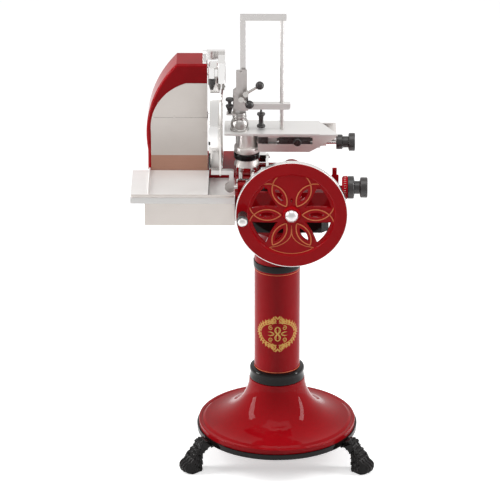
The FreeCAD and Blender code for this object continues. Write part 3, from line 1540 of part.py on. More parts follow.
def carriage_frame():
    """Open-topped frame that carries table and feed screw, clamped round the rear pillar."""
    wall = S.frame_wall
    depth = S.frame_back - S.frame_front
    top = S.frame_top
    solid = plate("frame_solid", frame_section(sized(0), top), depth, (0, S.frame_back, 0), FRONT)
    ear = plate("frame_ear", rounded(S.frame_ear_left, S.frame_ear_front, S.frame_left + 12, S.frame_ear_back, 10),
                top - S.frame_bottom, (0, 0, S.frame_bottom))
    space = plate("frame_space", frame_section(wall, top + 1), depth - wall * 2,
                  (0, S.frame_back - wall, 0), FRONT)
    boss = rod("frame_boss", S.feed_boss_radius, S.feed_boss_right - S.feed_boss_left,
               (S.feed_boss_left, S.feed_y, S.feed_z), RIGHT)
    web = bar("frame_boss_web", S.feed_boss_left, S.feed_boss_left + 12, S.frame_front + 2,
              S.feed_y, S.feed_z - 10, S.feed_z + 10)
    hollow = without("frame_hollow", joined("frame_walls", solid, ear), space)
    cast = joined("frame_cast", hollow, boss, web)
    bore = S.feed_screw_radius + S.running_gap
    front = S.frame_front
    tools = [
        rod("frame_screw_bore", bore, S.frame_right - S.frame_left + 4, (S.frame_left - 2, S.feed_y, S.feed_z),
            RIGHT),
        rod("frame_pillar_bore", S.rear_pillar_radius, top - S.frame_bottom + 2,
            (S.rail_x, S.rear_pillar_y, S.frame_bottom - 1)),
        bar("frame_window_left", S.slot_left, S.slot_web_left, front - 1, front + wall + 1, S.slot_bottom,
            S.slot_top),
        bar("frame_window_right", S.slot_web_right, S.slot_right, front - 1, front + wall + 1, S.slot_bottom,
            S.slot_top),
        rod("frame_lock_bore", S.lock_shank_radius + S.running_gap, wall + 2,
            ((S.slot_web_left + S.slot_web_right) / 2, front + wall + 1, S.lock_knob_z), FRONT),
    ]
    node(without("carriage_frame", cast, *tools))
    x = (S.slot_web_left + S.slot_web_right) / 2
    gap = S.slide_gap
    knob = S.lock_knob_radius
    shank = S.lock_shank_radius
    end = gap + S.lock_knob_length
    node(turned("slide_lock_knob", [
        (0, -wall), (shank, -wall), (shank, gap), (knob - 2, gap), (knob, gap + 2), (knob, end - 3, 3),
        (knob - 3, end), (0, end),
    ], (x, front, S.lock_knob_z), FRONT))


def feed():
    """Feed screw and its spool knob."""
    left = S.frame_left
    node(rod("feed_screw", S.feed_screw_radius, S.feed_screw_right - left, (left, S.feed_y, S.feed_z), RIGHT))
    spool("feed_knob", (S.feed_knob_radius, S.feed_knob_body), (S.feed_knob_neck_radius, S.feed_knob_neck),
          (S.feed_knob_flange_radius, S.feed_knob_flange), (S.feed_screw_right, S.feed_y, S.feed_z), RIGHT)


def table_bottom():
    """Returns the height of the table's underside, just clear of the frame."""
    return S.frame_top + S.slide_gap


def table():
    """Meat table with its lower wing and the feed nut under it."""
    low, thick = table_bottom(), S.table_thickness
    front, back = S.table_front, S.table_back
    corner = 6
    main = plate("table_plate", [
        (S.table_left + corner, front), (S.table_split, front), (S.table_split, back),
        (S.table_left + corner, back, corner), (S.table_left, back - corner), (S.table_left, front + corner, corner),
    ], thick, (0, 0, low))
    wing = plate("table_wing", [
        (S.table_split, front), (S.table_right, front), (S.table_right, front + 6), (S.table_split, back),
    ], thick - S.table_step, (0, 0, low))
    y, half = S.feed_y, S.nut_width / 2
    left, right = S.nut_left, S.nut_left + S.nut_length
    block = bar("nut_block", left, right, y - half + 6, y + half, S.nut_bottom, low + 1)
    bore = rod("nut_bore", S.feed_screw_radius + S.running_gap, S.nut_length + 2, (left - 1, y, S.feed_z), RIGHT)
    node(without("meat_table", joined("table_cast", main, wing, block), bore))


def table_top():
    """Returns the height of the table's upper face."""
    return table_bottom() + S.table_thickness


def press_frame():
    """Upright frame on the table: flat post, round rod and top bar, with its foot block."""
    y, left, width = S.press_y, S.post_left, S.post_width
    half = S.post_thickness / 2
    base = table_top()
    bar_low = S.press_top - S.press_bar_height
    post = bar("press_post", left, left + width, y - half, y + half, base, bar_low + 2)
    thick = S.press_bar_thickness / 2
    crossbar = plate("press_crossbar", rounded(left, bar_low, S.press_bar_right, S.press_top, 3),
                     S.press_bar_thickness, (0, y + thick, 0), FRONT)
    side_rod = rod("press_rod", S.press_rod_radius, bar_low - base + 2, (S.press_rod_x, y, base))
    node(joined("press_frame", post, crossbar, side_rod))
    foot_top = base + S.press_base_height
    depth = S.press_base_depth / 2
    step = S.press_base_step
    block = plate("press_foot_block", [
        (S.press_base_left + 6, base), (S.press_base_right, base), (S.press_base_right, foot_top - step, 6),
        (S.press_base_right - 6, foot_top - step + 6), (S.press_base_right - 6, foot_top),
        (S.press_base_left + 14, foot_top), (S.press_base_left + 14, foot_top - 16, -12),
        (S.press_base_left + 2, foot_top - 28), (S.press_base_left + 2, base + 10, 8),
    ], S.press_base_depth, (0, y + depth, 0), FRONT)
    slot = bar("press_foot_slot", left, left + width, y - half, y + half, base - 1, foot_top + 1)
    node(without("press_foot", block, slot))


def press_slide():
    """Sleeve that runs up the post, its cap and the pressing arm with its hanging knob."""
    y, gap = S.press_y, S.slide_gap
    left, right, low = S.sleeve_left, S.sleeve_right, S.sleeve_bottom
    high = low + S.sleeve_height
    half, post = S.sleeve_depth / 2, S.post_thickness / 2 + gap
    outer = plate("sleeve_outer", [
        (left, low), (right, low), (right, low + 46), (right - 4, low + 52), (right - 4, high), (left + 10, high),
        (left + 10, low + S.sleeve_step_height + 8), (left, low + S.sleeve_step_height),
    ], S.sleeve_depth, (0, y + half, 0), FRONT)
    slot = bar("sleeve_slot", S.post_left - gap, S.post_left + S.post_width + gap, y - post, y + post,
               low - 1, high + 1)
    cap_x = S.post_left + S.post_width / 2
    cap = bar("sleeve_cap", cap_x - 4, right - 6, y - half, y - post, high, high + S.sleeve_cap_height)
    lug_top = S.side_knob_bottom - gap
    lug = plate("side_lug", rounded(S.side_knob_x - 10, y - 34, left + 8, y - half + 2, 4), 5,
                (0, 0, lug_top - 5))
    link = bar("side_link", left, left + 8, y - half, y - half + 2, lug_top - 5, low + 2)
    node(without("press_sleeve", joined("sleeve_cast", outer, cap, lug, link), slot))
    arm_half = S.arm_depth / 2
    arm = plate("press_arm_bar", [
        (right, S.arm_z), (S.arm_right - 8, S.arm_z, 8), (S.arm_right, S.arm_z + 8),
        (S.arm_right, S.arm_z + S.arm_height), (right, S.arm_z + S.arm_height),
    ], S.arm_depth, (0, y + arm_half, 0), FRONT)
    hole = rod("press_arm_hole", S.press_rod_radius + gap, S.arm_height + 2, (S.press_rod_x, y, S.arm_z - 1))
    node(without("press_arm", arm, hole))
    knob, waist, tall = S.hanger_knob_radius, S.hanger_knob_waist, S.hanger_knob_height
    bottom = S.hanger_knob_bottom
    shank = S.hanger_shank_radius
    node(turned("hanging_knob", [
        (0, bottom), (knob - 1, bottom), (knob - 1, bottom + 9), (waist, bottom + 15), (waist, bottom + tall - 16),
        (knob, bottom + tall - 11), (knob, bottom + tall - 1), (knob - 1, bottom + tall), (shank, bottom + tall),
        (shank, S.arm_z - gap), (0, S.arm_z - gap),
    ], (S.hanger_x, y, 0)))


def ball_lever(name, pivot, ball_at, hub_back):
    """Clamp lever: a hub on its pivot, a thin stem and a black ball."""
    x, z = pivot
    hub = rod(f"{name}_hub", S.lever_hub_radius, S.lever_hub_length, (x, hub_back, z), FRONT)
    middle = hub_back - S.lever_hub_length + S.lever_radius + 1
    run = (ball_at[0] - x, ball_at[1] - z)
    direction = Vector(run[0].number, 0, run[1].number)
    stem = rod(f"{name}_stem", S.lever_radius, direction.Length, (x, middle, z),
               Rotation(Vector(0, 0, 1), direction))
    knob = ball(f"{name}_ball", S.ball_radius, (ball_at[0], middle, ball_at[1]))
    node(joined(name, hub, stem, knob))


def press_levers():
    """Two ball levers that clamp the sleeve, and the small spool knob at its side."""
    front = S.press_y - S.sleeve_depth / 2 - S.slide_gap
    ball_lever("upper_lever", (S.upper_lever_x - 8, S.upper_lever_z), (S.upper_ball_x, S.upper_ball_z), front)
    ball_lever("lower_lever", (S.upper_lever_x - 22, S.lower_lever_z + 14),
               (S.upper_lever_x + 4, S.lower_lever_z - S.lower_ball_drop), front)
    knob, waist, tall = S.side_knob_radius, S.side_knob_waist, S.side_knob_height
    low = S.side_knob_bottom
    shank = S.side_shank_radius
    node(turned("side_knob", [
        (0, low), (shank, low), (waist, low + 14), (knob, low + 20), (knob, low + 28), (waist, low + 31),
        (waist, low + 36), (knob, low + 39), (knob, low + tall), (0, low + tall),
    ], (S.side_knob_x, S.press_y - 22, 0)))


# ---------------------------------------------------------------- sharpener


def sharpener():
    """Swinging sharpener over the blade: foot on the hood, arm, column, two stones and a sprung button."""
    y, z, gap = S.blade_y, S.sharpener_z, S.slide_gap
    left, right, half = S.sharpener_left, S.sharpener_right, S.sharpener_half_height
    pin = S.sharpener_pin_radius
    foot_left = left - gap - S.sharpener_ear
    base = S.hood_top
    ear = plate("sharpener_ear", [
        (y - 20, base), (y + 30, base), (y + 30, base + 6), (y + 12, z, 12.1), (y - 12, z), (y - 20, base + 6),
    ], S.sharpener_ear, (foot_left, 0, 0), RIGHT)
    node(joined("sharpener_foot", ear, rod("sharpener_pin", pin, right - foot_left, (foot_left, y, z), RIGHT)))
    x, radius = S.stone_column_x, S.stone_column_radius
    along, up = polar(S.blade_radius + S.stone_radius + S.stone_blade_gap, S.stone_bearing_angle.number)
    column_y, stone_z = S.blade_y + along, S.blade_z + up
    column_low = stone_z + S.stone_column_clearance
    block = plate("sharpener_block", [
        (y - 15, z - half), (y, z - half, half + 0.05), (y, z + half), (y - 15, z + half),
    ], right - left, (left, 0, 0), RIGHT)
    arm = bar("sharpener_arm", x - radius + 3, x + radius - 3, column_y, y - 14, z - half + 2, z + half - 6)
    column = rod("stone_column", radius, S.stone_column_top - column_low, (x, column_y, column_low))
    web = bar("stone_web", x - 2.5, x + 2.5, column_y - 8, column_y + 8, stone_z - 5, column_low + 1)
    guide_x, guide_low = S.button_x, S.button_guide_bottom
    guide = rod("button_guide", S.button_guide_radius, S.button_guide_top - guide_low, (guide_x, column_y, guide_low))
    bridge = bar("button_bridge", guide_x, x, column_y - 5, column_y + 5, guide_low + 6, S.button_guide_top - 6)
    stem = S.button_stem_radius
    bores = [
        rod("sharpener_pin_bore", pin + S.running_gap, right - left + 2, (left - 1, y, z), RIGHT),
        rod("stone_spindle_bore", S.stone_spindle_radius + S.running_gap, 12, (x - 6, column_y, stone_z), RIGHT),
        rod("button_bore", stem + S.running_gap, S.button_stem + S.button_travel + 2,
            (guide_x, column_y, guide_low - 1)),
    ]
    node(without("sharpener_head", joined("sharpener_cast", block, arm, column, web, guide, bridge), *bores))
    reach = 2.5 + S.stone_gap + S.stone_thickness + 3
    spindle = rod("stone_spindle", S.stone_spindle_radius, reach * 2, (x - reach, column_y, stone_z), RIGHT)
    left_x, right_x = x - 2.5 - S.stone_gap - S.stone_thickness, x + 2.5 + S.stone_gap
    node(joined(
        "sharpening_stones", spindle,
        rod("left_stone", S.stone_radius, S.stone_thickness, (left_x, column_y, stone_z), RIGHT),
        rod("right_stone", S.stone_radius, S.stone_thickness, (right_x, column_y, stone_z), RIGHT),
    ))
    top = guide_low - S.button_travel - 0.5
    tip, knob = top - S.button_length, S.button_radius
    node(turned("sharpener_button", [
        (0, tip), (knob - 5, tip), (knob - 2, tip + 14), (knob, tip + 17), (knob, top), (stem, top),
        (stem, guide_low + S.button_stem), (0, guide_low + S.button_stem),
    ], (guide_x, column_y, 0)))


def write_parts():
    """Checks every object and writes one STEP file per sub-part."""
    doc.recompute()
    faults = [o.Name for o in doc.Objects if "Invalid" in o.State or "Error" in o.State]
    if faults:
        raise RuntimeError(f"objects that do not compute: {faults}")
    os.makedirs("parts", exist_ok=True)
    for piece in nodes:
        shape = piece.Shape
        if shape.isNull() or not shape.isValid() or not shape.Solids:
            raise RuntimeError(f"{piece.Name} is not a valid solid")
        piece.Label = piece.Name
        shape.exportStep(os.path.join("parts", f"{piece.Name}.step"))


make_sheet()
lion_paws()
pedestal_base()
pedestal_column()
top_plate()
stand_machine_on_pedestal()
base_casting()
bushes()
flywheel()
handle()
carriage_crank()
blade_drive()
blade()
guard()
bearing_housing()
hood()
deflector()
tray()
side_box()
thickness_control(gauge())
rails()
saddle()
connecting_rod()
carriage_frame()
feed()
table()
press_frame()
press_slide()
press_levers()
sharpener()
write_parts()
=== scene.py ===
"""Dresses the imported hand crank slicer: enamel, steel, lining, carving, turned pieces and studio.

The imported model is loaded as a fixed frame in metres. Each sub-assembly is a class that models its
small pieces over the frame, and every solid gets the finish of its slot or one of its own.
"""
import json
import logging
import math
from dataclasses import dataclass, field
from enum import Enum
from functools import cached_property
from typing import Callable, Sequence

import bpy
from mathutils import Matrix, Vector


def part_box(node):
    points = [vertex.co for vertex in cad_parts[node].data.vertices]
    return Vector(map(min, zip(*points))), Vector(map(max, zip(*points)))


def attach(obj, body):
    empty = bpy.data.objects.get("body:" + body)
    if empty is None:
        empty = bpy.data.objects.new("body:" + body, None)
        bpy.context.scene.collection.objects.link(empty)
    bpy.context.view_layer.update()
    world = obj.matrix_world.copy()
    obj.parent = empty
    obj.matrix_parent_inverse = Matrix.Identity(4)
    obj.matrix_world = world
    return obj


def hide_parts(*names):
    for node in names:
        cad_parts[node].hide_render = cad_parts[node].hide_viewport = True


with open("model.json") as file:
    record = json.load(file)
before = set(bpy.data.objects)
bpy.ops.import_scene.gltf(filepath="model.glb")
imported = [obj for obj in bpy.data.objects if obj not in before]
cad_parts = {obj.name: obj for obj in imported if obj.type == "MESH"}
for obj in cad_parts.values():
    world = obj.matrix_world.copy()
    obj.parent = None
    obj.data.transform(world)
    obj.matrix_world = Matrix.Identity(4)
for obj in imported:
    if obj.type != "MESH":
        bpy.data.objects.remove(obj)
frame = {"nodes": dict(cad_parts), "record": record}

log = logging.getLogger("slicer")

Node = bpy.types.Node
Material = bpy.types.Material
Point = tuple[float, float]
Triple = tuple[float, float, float]
Track = Sequence[Triple]
Profile = Sequence[Point]
Mapping = Callable[[Vector], Vector]

DOUBLED = 1e-6
WHITE = (1, 1, 1, 1)


class Slot(Enum):
    """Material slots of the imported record."""

    BLACK_ENAMEL = "black_enamel"
    RED_ENAMEL = "red_enamel"
    BRUSHED_STEEL = "brushed_steel"
    POLISHED_STEEL = "polished_steel"
    MACHINED_STEEL = "machined_steel"
    CAST_IRON = "cast_iron"
    BRONZE = "bronze"
    BLACK_PHENOLIC = "black_phenolic"
    RED_DIAL = "red_dial"
    GRINDING_STONE = "grinding_stone"


# ---------------------------------------------------------------- materials


class Nodes:
    """A shader tree with short ways to add and join its nodes."""

    def __init__(self, tree: bpy.types.NodeTree) -> None:
        """Takes a tree and empties it."""
        self.tree = tree
        tree.nodes.clear()

    def feed(self, node: Node, sockets: dict[int | str, object]) -> None:
        """Joins or sets some inputs of a node.

        Args:
            node: The node.
            sockets: For each input, by index or by name with underscores for spaces, a node or
                an output to join, or a constant.
        """
        for key, value in sockets.items():
            end = node.inputs[key.replace("_", " ") if isinstance(key, str) else key]
            if isinstance(value, Node):
                value = next(output for output in value.outputs if output.enabled)
            if isinstance(value, bpy.types.NodeSocket):
                self.tree.links.new(value, end)
            else:
                end.default_value = value

    def add(self, kind: str, *values: object, settings: dict[str, object] | None = None,
            **sockets: object) -> Node:
        """Adds a node and feeds its inputs.

        Args:
            kind: The node type's identifier.
            values: What its first inputs get, in their order.
            settings: Its own properties.
            sockets: What other inputs get.

        Returns:
            The new node.
        """
        node = self.tree.nodes.new(kind)
        for name, value in (settings or {}).items():
            setattr(node, name, value)
        self.feed(node, dict(enumerate(values)) | sockets)
        return node

    def math(self, operation: str, *values: object) -> Node:
        """Adds a calculation with numbers."""
        return self.add("ShaderNodeMath", *values, settings={"operation": operation})

    def vector_math(self, operation: str, *values: object) -> Node:
        """Adds a calculation with vectors."""
        return self.add("ShaderNodeVectorMath", *values, settings={"operation": operation})


class Group(Nodes):
    """A shared effect while it is put together."""

    def __init__(self, name: str, **inputs: float | Triple) -> None:
        """Starts a group.

        Args:
            name: The group's name.
            inputs: Each input's default, a number or a vector.
        """
        super().__init__(bpy.data.node_groups.new(name, "ShaderNodeTree"))
        for label, value in inputs.items():
            kind = "NodeSocketFloat" if isinstance(value, float) else "NodeSocketVector"
            socket = self.tree.interface.new_socket(label, in_out="INPUT", socket_type=kind)
            socket.default_value = value
        self.given = self.add("NodeGroupInput").outputs

    def close(self, **outputs: Node) -> bpy.types.NodeTree:
        """Joins the group's outputs.

        Args:
            outputs: The node behind each output. "Normal" is a vector, the others are numbers.

        Returns:
            The finished group.
        """
        for label in outputs:
            kind = "NodeSocketVector" if label == "Normal" else "NodeSocketFloat"
            self.tree.interface.new_socket(label, in_out="OUTPUT", socket_type=kind)
        self.add("NodeGroupOutput", **outputs)
        return self.tree


class Effects:
    """Shader node groups that several finishes share, each built once."""

    def __init__(self) -> None:
        """Builds each group."""
        self.edges = self.soft_edges()
        self.smudges = self.handling()
        self.brush = self.brushing()
        self.rings = self.turning()

    @staticmethod
    def soft_edges() -> bpy.types.NodeTree:
        """Rounds sharp corners in the normal, as a casting's or sheet's broken edge.

        Returns:
            A group with Radius in, and Normal and Edge (1 along corners) out.
        """
        group = Group("soft_edges", Radius=0.001)
        bevel = group.add("ShaderNodeBevel", settings={"samples": 4}, Radius=group.given["Radius"])
        flat = group.add("ShaderNodeNewGeometry").outputs["Normal"]
        facing = group.vector_math("DOT_PRODUCT", bevel, flat)
        edge = group.add("ShaderNodeMapRange", Value=facing, From_Min=0.999, From_Max=0.9)
        return group.close(Normal=bevel, Edge=edge)

    @staticmethod
    def handling() -> bpy.types.NodeTree:
        """Faint smudges and wipe marks.

        Returns:
            A group with Vector and Size in, and Mask out.
        """
        group = Group("handling", Vector=(0, 0, 0), Size=9.0)
        cloud = group.add("ShaderNodeTexNoise", Vector=group.given["Vector"],
                          Scale=group.given["Size"], Detail=6.0, Roughness=0.62, Distortion=0.6)
        return group.close(Mask=group.add("ShaderNodeMapRange", Value=cloud, From_Min=0.36,
                                          From_Max=0.68))

    @staticmethod
    def brushing() -> bpy.types.NodeTree:
        """Straight brush lines: noise drawn out along one axis.

        Returns:
            A group with Vector and Stretch in, and Lines out.
        """
        group = Group("brushing", Vector=(0, 0, 0), Stretch=(1, 1, 1))
        drawn = group.vector_math("MULTIPLY", group.given["Vector"], group.given["Stretch"])
        return group.close(Lines=group.add("ShaderNodeTexNoise", Vector=drawn, Scale=1.0,
                                           Detail=3.0, Roughness=0.7))

    @staticmethod
    def turning() -> bpy.types.NodeTree:
        """Rings left by a lathe or grinder round the pattern's z axis.

        Returns:
            A group with Vector and Pitch in, and Rings out.
        """
        group = Group("turning", Vector=(0, 0, 0), Pitch=900.0)
        flat = group.vector_math("MULTIPLY", group.given["Vector"], (1, 1, 0))
        ring = group.math("MULTIPLY", group.vector_math("LENGTH", flat), group.given["Pitch"])
        return group.close(Rings=group.add("ShaderNodeTexNoise", W=ring, Scale=1.0, Detail=4.0,
                                           settings={"noise_dimensions": "1D"}))


class Recipe(Nodes):
    """A material while it is put together."""

    def __init__(self, name: str) -> None:
        """Starts a material with an output and a Principled shader.

        Args:
            name: The material's name.
        """
        self.material = bpy.data.materials.new(name)
        self.material.use_nodes = True
        super().__init__(self.material.node_tree)
        self.shader = self.add("ShaderNodeBsdfPrincipled")
        self.output = self.add("ShaderNodeOutputMaterial", Surface=self.shader)

    def set(self, **sockets: object) -> None:
        """Feeds the shader's own inputs."""
        self.feed(self.shader, sockets)


class Pattern(Enum):
    """What a surface's colour, gloss, relief or metal can follow."""

    SMUDGES = "smudges"
    PEEL = "peel"
    LINES = "lines"
    RINGS = "rings"
    GRAIN = "grain"
    WEAR = "wear"
    BEYOND_BALL = "beyond_ball"


@dataclass(frozen=True)
class Finish:
    """A surface that varies between two colours and two roughnesses, with a fine relief.

    Its depth and its edges' and ball's radii are in metres. Its patterns' sizes are scales.
    """

    name: str
    colour: Triple
    shade: Triple
    roughness: float = 0.3
    smoother: float = 0.07
    rougher: float = 0.08
    depth: float = 0.00002
    edge: float = 0.0006
    metallic: float = 0.0
    specular: float = 0.5
    coat: float = 0.0
    coat_roughness: float = 0.04
    coat_index: float = 1.17
    smudge: float = 11.0
    peel: float = 160.0
    stretch: Triple = (14.0, 900.0, 900.0)
    pitch: float = 1400.0
    grain: float = 420.0
    ball: float = 0.0142
    centre: Triple = (0, 0, 0)
    turn: Triple = (0, 0, 0)
    colour_by: Pattern = Pattern.SMUDGES
    gloss_by: Pattern = Pattern.SMUDGES
    relief_by: Pattern = Pattern.SMUDGES
    metal_by: Pattern | None = None


@dataclass(frozen=True)
class Enamel(Finish):
    """Stoved gloss enamel: a deep colour under a clear coat, with faint orange peel and smudges."""

    roughness: float = 0.4
    smoother: float = 0.05
    rougher: float = 0.07
    depth: float = 0.00004
    edge: float = 0.0012
    specular: float = 0.0
    coat: float = 1.0
    smudge: float = 7.0
    relief_by: Pattern = Pattern.PEEL


@dataclass(frozen=True)
class BrushedMetal(Finish):
    """Metal with straight brush lines."""

    metallic: float = 1.0
    colour_by: Pattern = Pattern.LINES
    relief_by: Pattern = Pattern.LINES


@dataclass(frozen=True)
class TurnedMetal(Finish):
    """Metal finished in a lathe or on a grinder, with rings round an axis."""

    roughness: float = 0.34
    smoother: float = 0.06
    depth: float = 0.000002
    edge: float = 0.001
    metallic: float = 1.0
    smudge: float = 14.0
    colour_by: Pattern = Pattern.RINGS
    relief_by: Pattern = Pattern.RINGS


@dataclass(frozen=True)
class Rough(Finish):
    """Sand-cast or bonded surface with an even grain."""

    smoother: float = 0.1
    rougher: float = 0.1
    edge: float = 0.001
    colour_by: Pattern = Pattern.GRAIN
    gloss_by: Pattern = Pattern.GRAIN
    relief_by: Pattern = Pattern.GRAIN


@dataclass(frozen=True)
class Phenolic(Finish):
    """Moulded and polished knob material in its shade, worn to its colour along its edges."""

    roughness: float = 0.27
    rougher: float = 0.07
    edge: float = 0.0012
    specular: float = 0.6
    smudge: float = 38.0
    colour_by: Pattern = Pattern.WEAR


@dataclass(frozen=True)
class BallLever(Finish):
    """A polished steel lever in its colour, with a moulded ball in its shade round its centre."""

    colour: Triple = (0.5, 0.48, 0.46)
    shade: Triple = (0.028, 0.024, 0.024)
    roughness: float = 0.26
    smoother: float = 0.06
    rougher: float = 0.06
    depth: float = 0.000006
    edge: float = 0.0
    smudge: float = 30.0
    colour_by: Pattern = Pattern.BEYOND_BALL
    metal_by: Pattern = Pattern.BEYOND_BALL


class Surface(Recipe):
    """A finish while it is mixed. Each pattern is added when something first follows it."""

    def __init__(self, finish: Finish, effects: Effects) -> None:
        """Starts the material, with coordinates placed so that patterns sit on the piece.

        Args:
            finish: The finish.
            effects: The shared node groups.
        """
        super().__init__(finish.name)
        self.of, self.effects = finish, effects
        where = self.add("ShaderNodeTexCoord").outputs["Object"]
        self.place = self.add("ShaderNodeMapping", settings={"vector_type": "TEXTURE"},
                              Vector=where, Location=finish.centre, Rotation=finish.turn)

    def effect(self, tree: bpy.types.NodeTree, **sockets: object) -> Node:
        """Places a shared effect."""
        return self.add("ShaderNodeGroup", settings={"node_tree": tree}, **sockets)

    @cached_property
    def edges(self) -> Node:
        """Soft edges."""
        return self.effect(self.effects.edges, Radius=self.of.edge)

    @cached_property
    def smudges(self) -> Node:
        """Marks of handling."""
        return self.effect(self.effects.smudges, Vector=self.place, Size=self.of.smudge)

    @cached_property
    def lines(self) -> Node:
        """Brush lines."""
        return self.effect(self.effects.brush, Vector=self.place, Stretch=self.of.stretch)

    @cached_property
    def rings(self) -> Node:
        """Turned or ground rings."""
        return self.effect(self.effects.rings, Vector=self.place, Pitch=self.of.pitch)

    @cached_property
    def peel(self) -> Node:
        """Orange peel."""
        return self.add("ShaderNodeTexNoise", Vector=self.place, Scale=self.of.peel, Detail=2.0)

    @cached_property
    def grain(self) -> Node:
        """Grain of a casting or stone."""
        return self.add("ShaderNodeTexNoise", Vector=self.place, Scale=self.of.grain, Detail=5.0,
                        Roughness=0.65)

    @cached_property
    def wear(self) -> Node:
        """Edges, where they are handled."""
        return self.math("MULTIPLY", self.smudges, self.edges.outputs["Edge"])

    @cached_property
    def beyond_ball(self) -> Node:
        """All that lies outside the ball round the finish's centre."""
        return self.math("GREATER_THAN", self.vector_math("LENGTH", self.place), self.of.ball)

    def mix(self) -> Material:
        """Joins the patterns to the shader.

        Returns:
            The finished material.
        """
        of = self.of
        tint, wear, height = (getattr(self, pattern.value)
                              for pattern in (of.colour_by, of.gloss_by, of.relief_by))
        colour = self.add("ShaderNodeMix", settings={"data_type": "RGBA"}, Factor=tint,
                          A=(*of.shade, 1), B=(*of.colour, 1))
        rough = self.add("ShaderNodeMapRange", Value=wear, To_Min=of.roughness - of.smoother,
                         To_Max=of.roughness + of.rougher)
        relief = self.add("ShaderNodeBump", Height=height, Distance=of.depth, Strength=1.0)
        if of.edge:
            self.feed(relief, {"Normal": self.edges})
        self.set(Base_Color=colour, Roughness=rough, Normal=relief, Specular_IOR_Level=of.specular,
                 Metallic=getattr(self, of.metal_by.value) if of.metal_by else of.metallic)
        if of.coat:
            self.set(Coat_Weight=of.coat, Coat_Roughness=of.coat_roughness,
                     Coat_IOR=of.coat_index)
        return self.material


SLOT_FINISHES = {
    Slot.BLACK_ENAMEL: Enamel(
        "black_enamel_gloss", (0.010, 0.008, 0.008), (0.006, 0.005, 0.005), coat_roughness=0.05,
        coat_index=1.26),
    Slot.RED_ENAMEL: Enamel("red_enamel_gloss", (0.33, 0.004, 0.008), (0.28, 0.003, 0.006)),
    Slot.BRUSHED_STEEL: BrushedMetal(
        "steel_brushed", (0.76, 0.735, 0.71), (0.68, 0.655, 0.63), depth=0.000006),
    Slot.POLISHED_STEEL: BrushedMetal(
        "steel_polished", (0.84, 0.83, 0.82), (0.76, 0.75, 0.74), 0.14, depth=0.000006,
        stretch=(900.0, 900.0, 20.0)),
    Slot.MACHINED_STEEL: BrushedMetal(
        "steel_machined", (0.6, 0.6, 0.61), (0.42, 0.42, 0.43), 0.32,
        stretch=(1100.0, 1100.0, 60.0)),
    Slot.CAST_IRON: Rough(
        "iron_cast", (0.3, 0.3, 0.31), (0.2, 0.2, 0.21), 0.55, depth=0.00012, metallic=0.6),
    # The band in the bronze slot, below the deflector: its bronze-brown paints the shade inside the
    # hood.
    Slot.BRONZE: BrushedMetal(
        "bronze_brown_painted_shade", (0.48, 0.27, 0.20), (0.38, 0.21, 0.155), 0.42,
        stretch=(16.0, 700.0, 700.0)),
    Slot.BLACK_PHENOLIC: Phenolic("phenolic_black", (0.12, 0.1, 0.09), (0.03, 0.026, 0.026)),
    Slot.RED_DIAL: Enamel(
        "dial_enamel", (0.45, 0.01, 0.02), (0.38, 0.008, 0.014), 0.3, depth=0.0006,
        coat_roughness=0.05, coat_index=1.0),
    Slot.GRINDING_STONE: Rough(
        "stone_bonded", (0.42, 0.4, 0.37), (0.28, 0.26, 0.24), 0.85, depth=0.0002,
        grain=1500.0),
}


def middle(node: str) -> Vector:
    """The middle of a node's box."""
    low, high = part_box(node)
    return (low + high) / 2


class Finishes:
    """Every material of the machine, built once."""

    def __init__(self) -> None:
        """Builds the shared effects, the finish of each slot and those of single pieces."""
        self.effects = Effects()
        self.by_slot = {slot: self.make(finish) for slot, finish in SLOT_FINISHES.items()}
        self.gold = self.make(BrushedMetal(
            "gold_leaf", (0.50, 0.29, 0.09), (0.30, 0.155, 0.04), 0.4, depth=0.00003, edge=0.0002,
            stretch=(300.0, 300.0, 300.0)))
        self.lining, self.pale = (
            self.make(Enamel(name, colour, shade, 0.5, depth=0.00001, edge=0.0002,
                             coat_roughness=0.2, coat_index=1.1))
            for name, colour, shade in (
                ("lining_orange", (0.95, 0.30, 0.14), (0.85, 0.24, 0.10)),
                ("marking_white", (0.78, 0.75, 0.70), (0.68, 0.65, 0.60))))
        # The flywheel's red: a brighter copy of the stand's red enamel, painted light on the wheel.
        self.wheel = self.make(Enamel(
            "red_enamel_wheel_painted_light", (0.52, 0.007, 0.012), (0.45, 0.005, 0.009)))
        self.sleeve = self.make(BrushedMetal(
            "steel_sleeve", (0.50, 0.47, 0.455), (0.42, 0.395, 0.385), 0.36, depth=0.00001,
            stretch=(60.0, 60.0, 60.0)))
        self.tray = self.make(BrushedMetal(
            "steel_tray", (0.86, 0.845, 0.83), (0.80, 0.785, 0.77), 0.46, depth=0.000006,
            metallic=0.3))
        # A darker copy of the tray's steel: painted shade on the fronts of the side box and the
        # tray's lip; the deflector takes it too.
        self.box = self.make(BrushedMetal(
            "steel_darker_painted_shade", (0.575, 0.535, 0.505), (0.54, 0.50, 0.47), 0.42, depth=0.000004))
        self.upright = self.make(BrushedMetal(
            "steel_upright", (0.62, 0.60, 0.585), (0.54, 0.52, 0.51), depth=0.000004,
            stretch=(900.0, 900.0, 14.0)))
        self.satin = self.make(BrushedMetal(
            "steel_satin", (0.80, 0.77, 0.75), (0.74, 0.71, 0.69), 0.5, depth=0.000004,
            stretch=(60.0, 60.0, 60.0)))
        self.blade = self.make(TurnedMetal(
            "blade_ground", (0.86, 0.86, 0.86), (0.74, 0.74, 0.74), 0.17, depth=0.00001,
            edge=0.0004, pitch=1600.0, centre=middle("blade"), turn=(0, math.pi / 2, 0)))
        self.lathed = self.make(TurnedMetal(
            "steel_lathed", (0.46, 0.44, 0.425), (0.36, 0.345, 0.335), pitch=700.0,
            centre=middle("press_foot")))
        self.faced = self.make(TurnedMetal(
            "steel_faced", (0.66, 0.65, 0.64), (0.61, 0.60, 0.59), pitch=500.0,
            centre=middle("hub_cap"), turn=(math.pi / 2, 0, 0)))

    def make(self, finish: Finish) -> Material:
        """Builds a finish with the shared effects."""
        return Surface(finish, self.effects).mix()


# ---------------------------------------------------------------- modelling


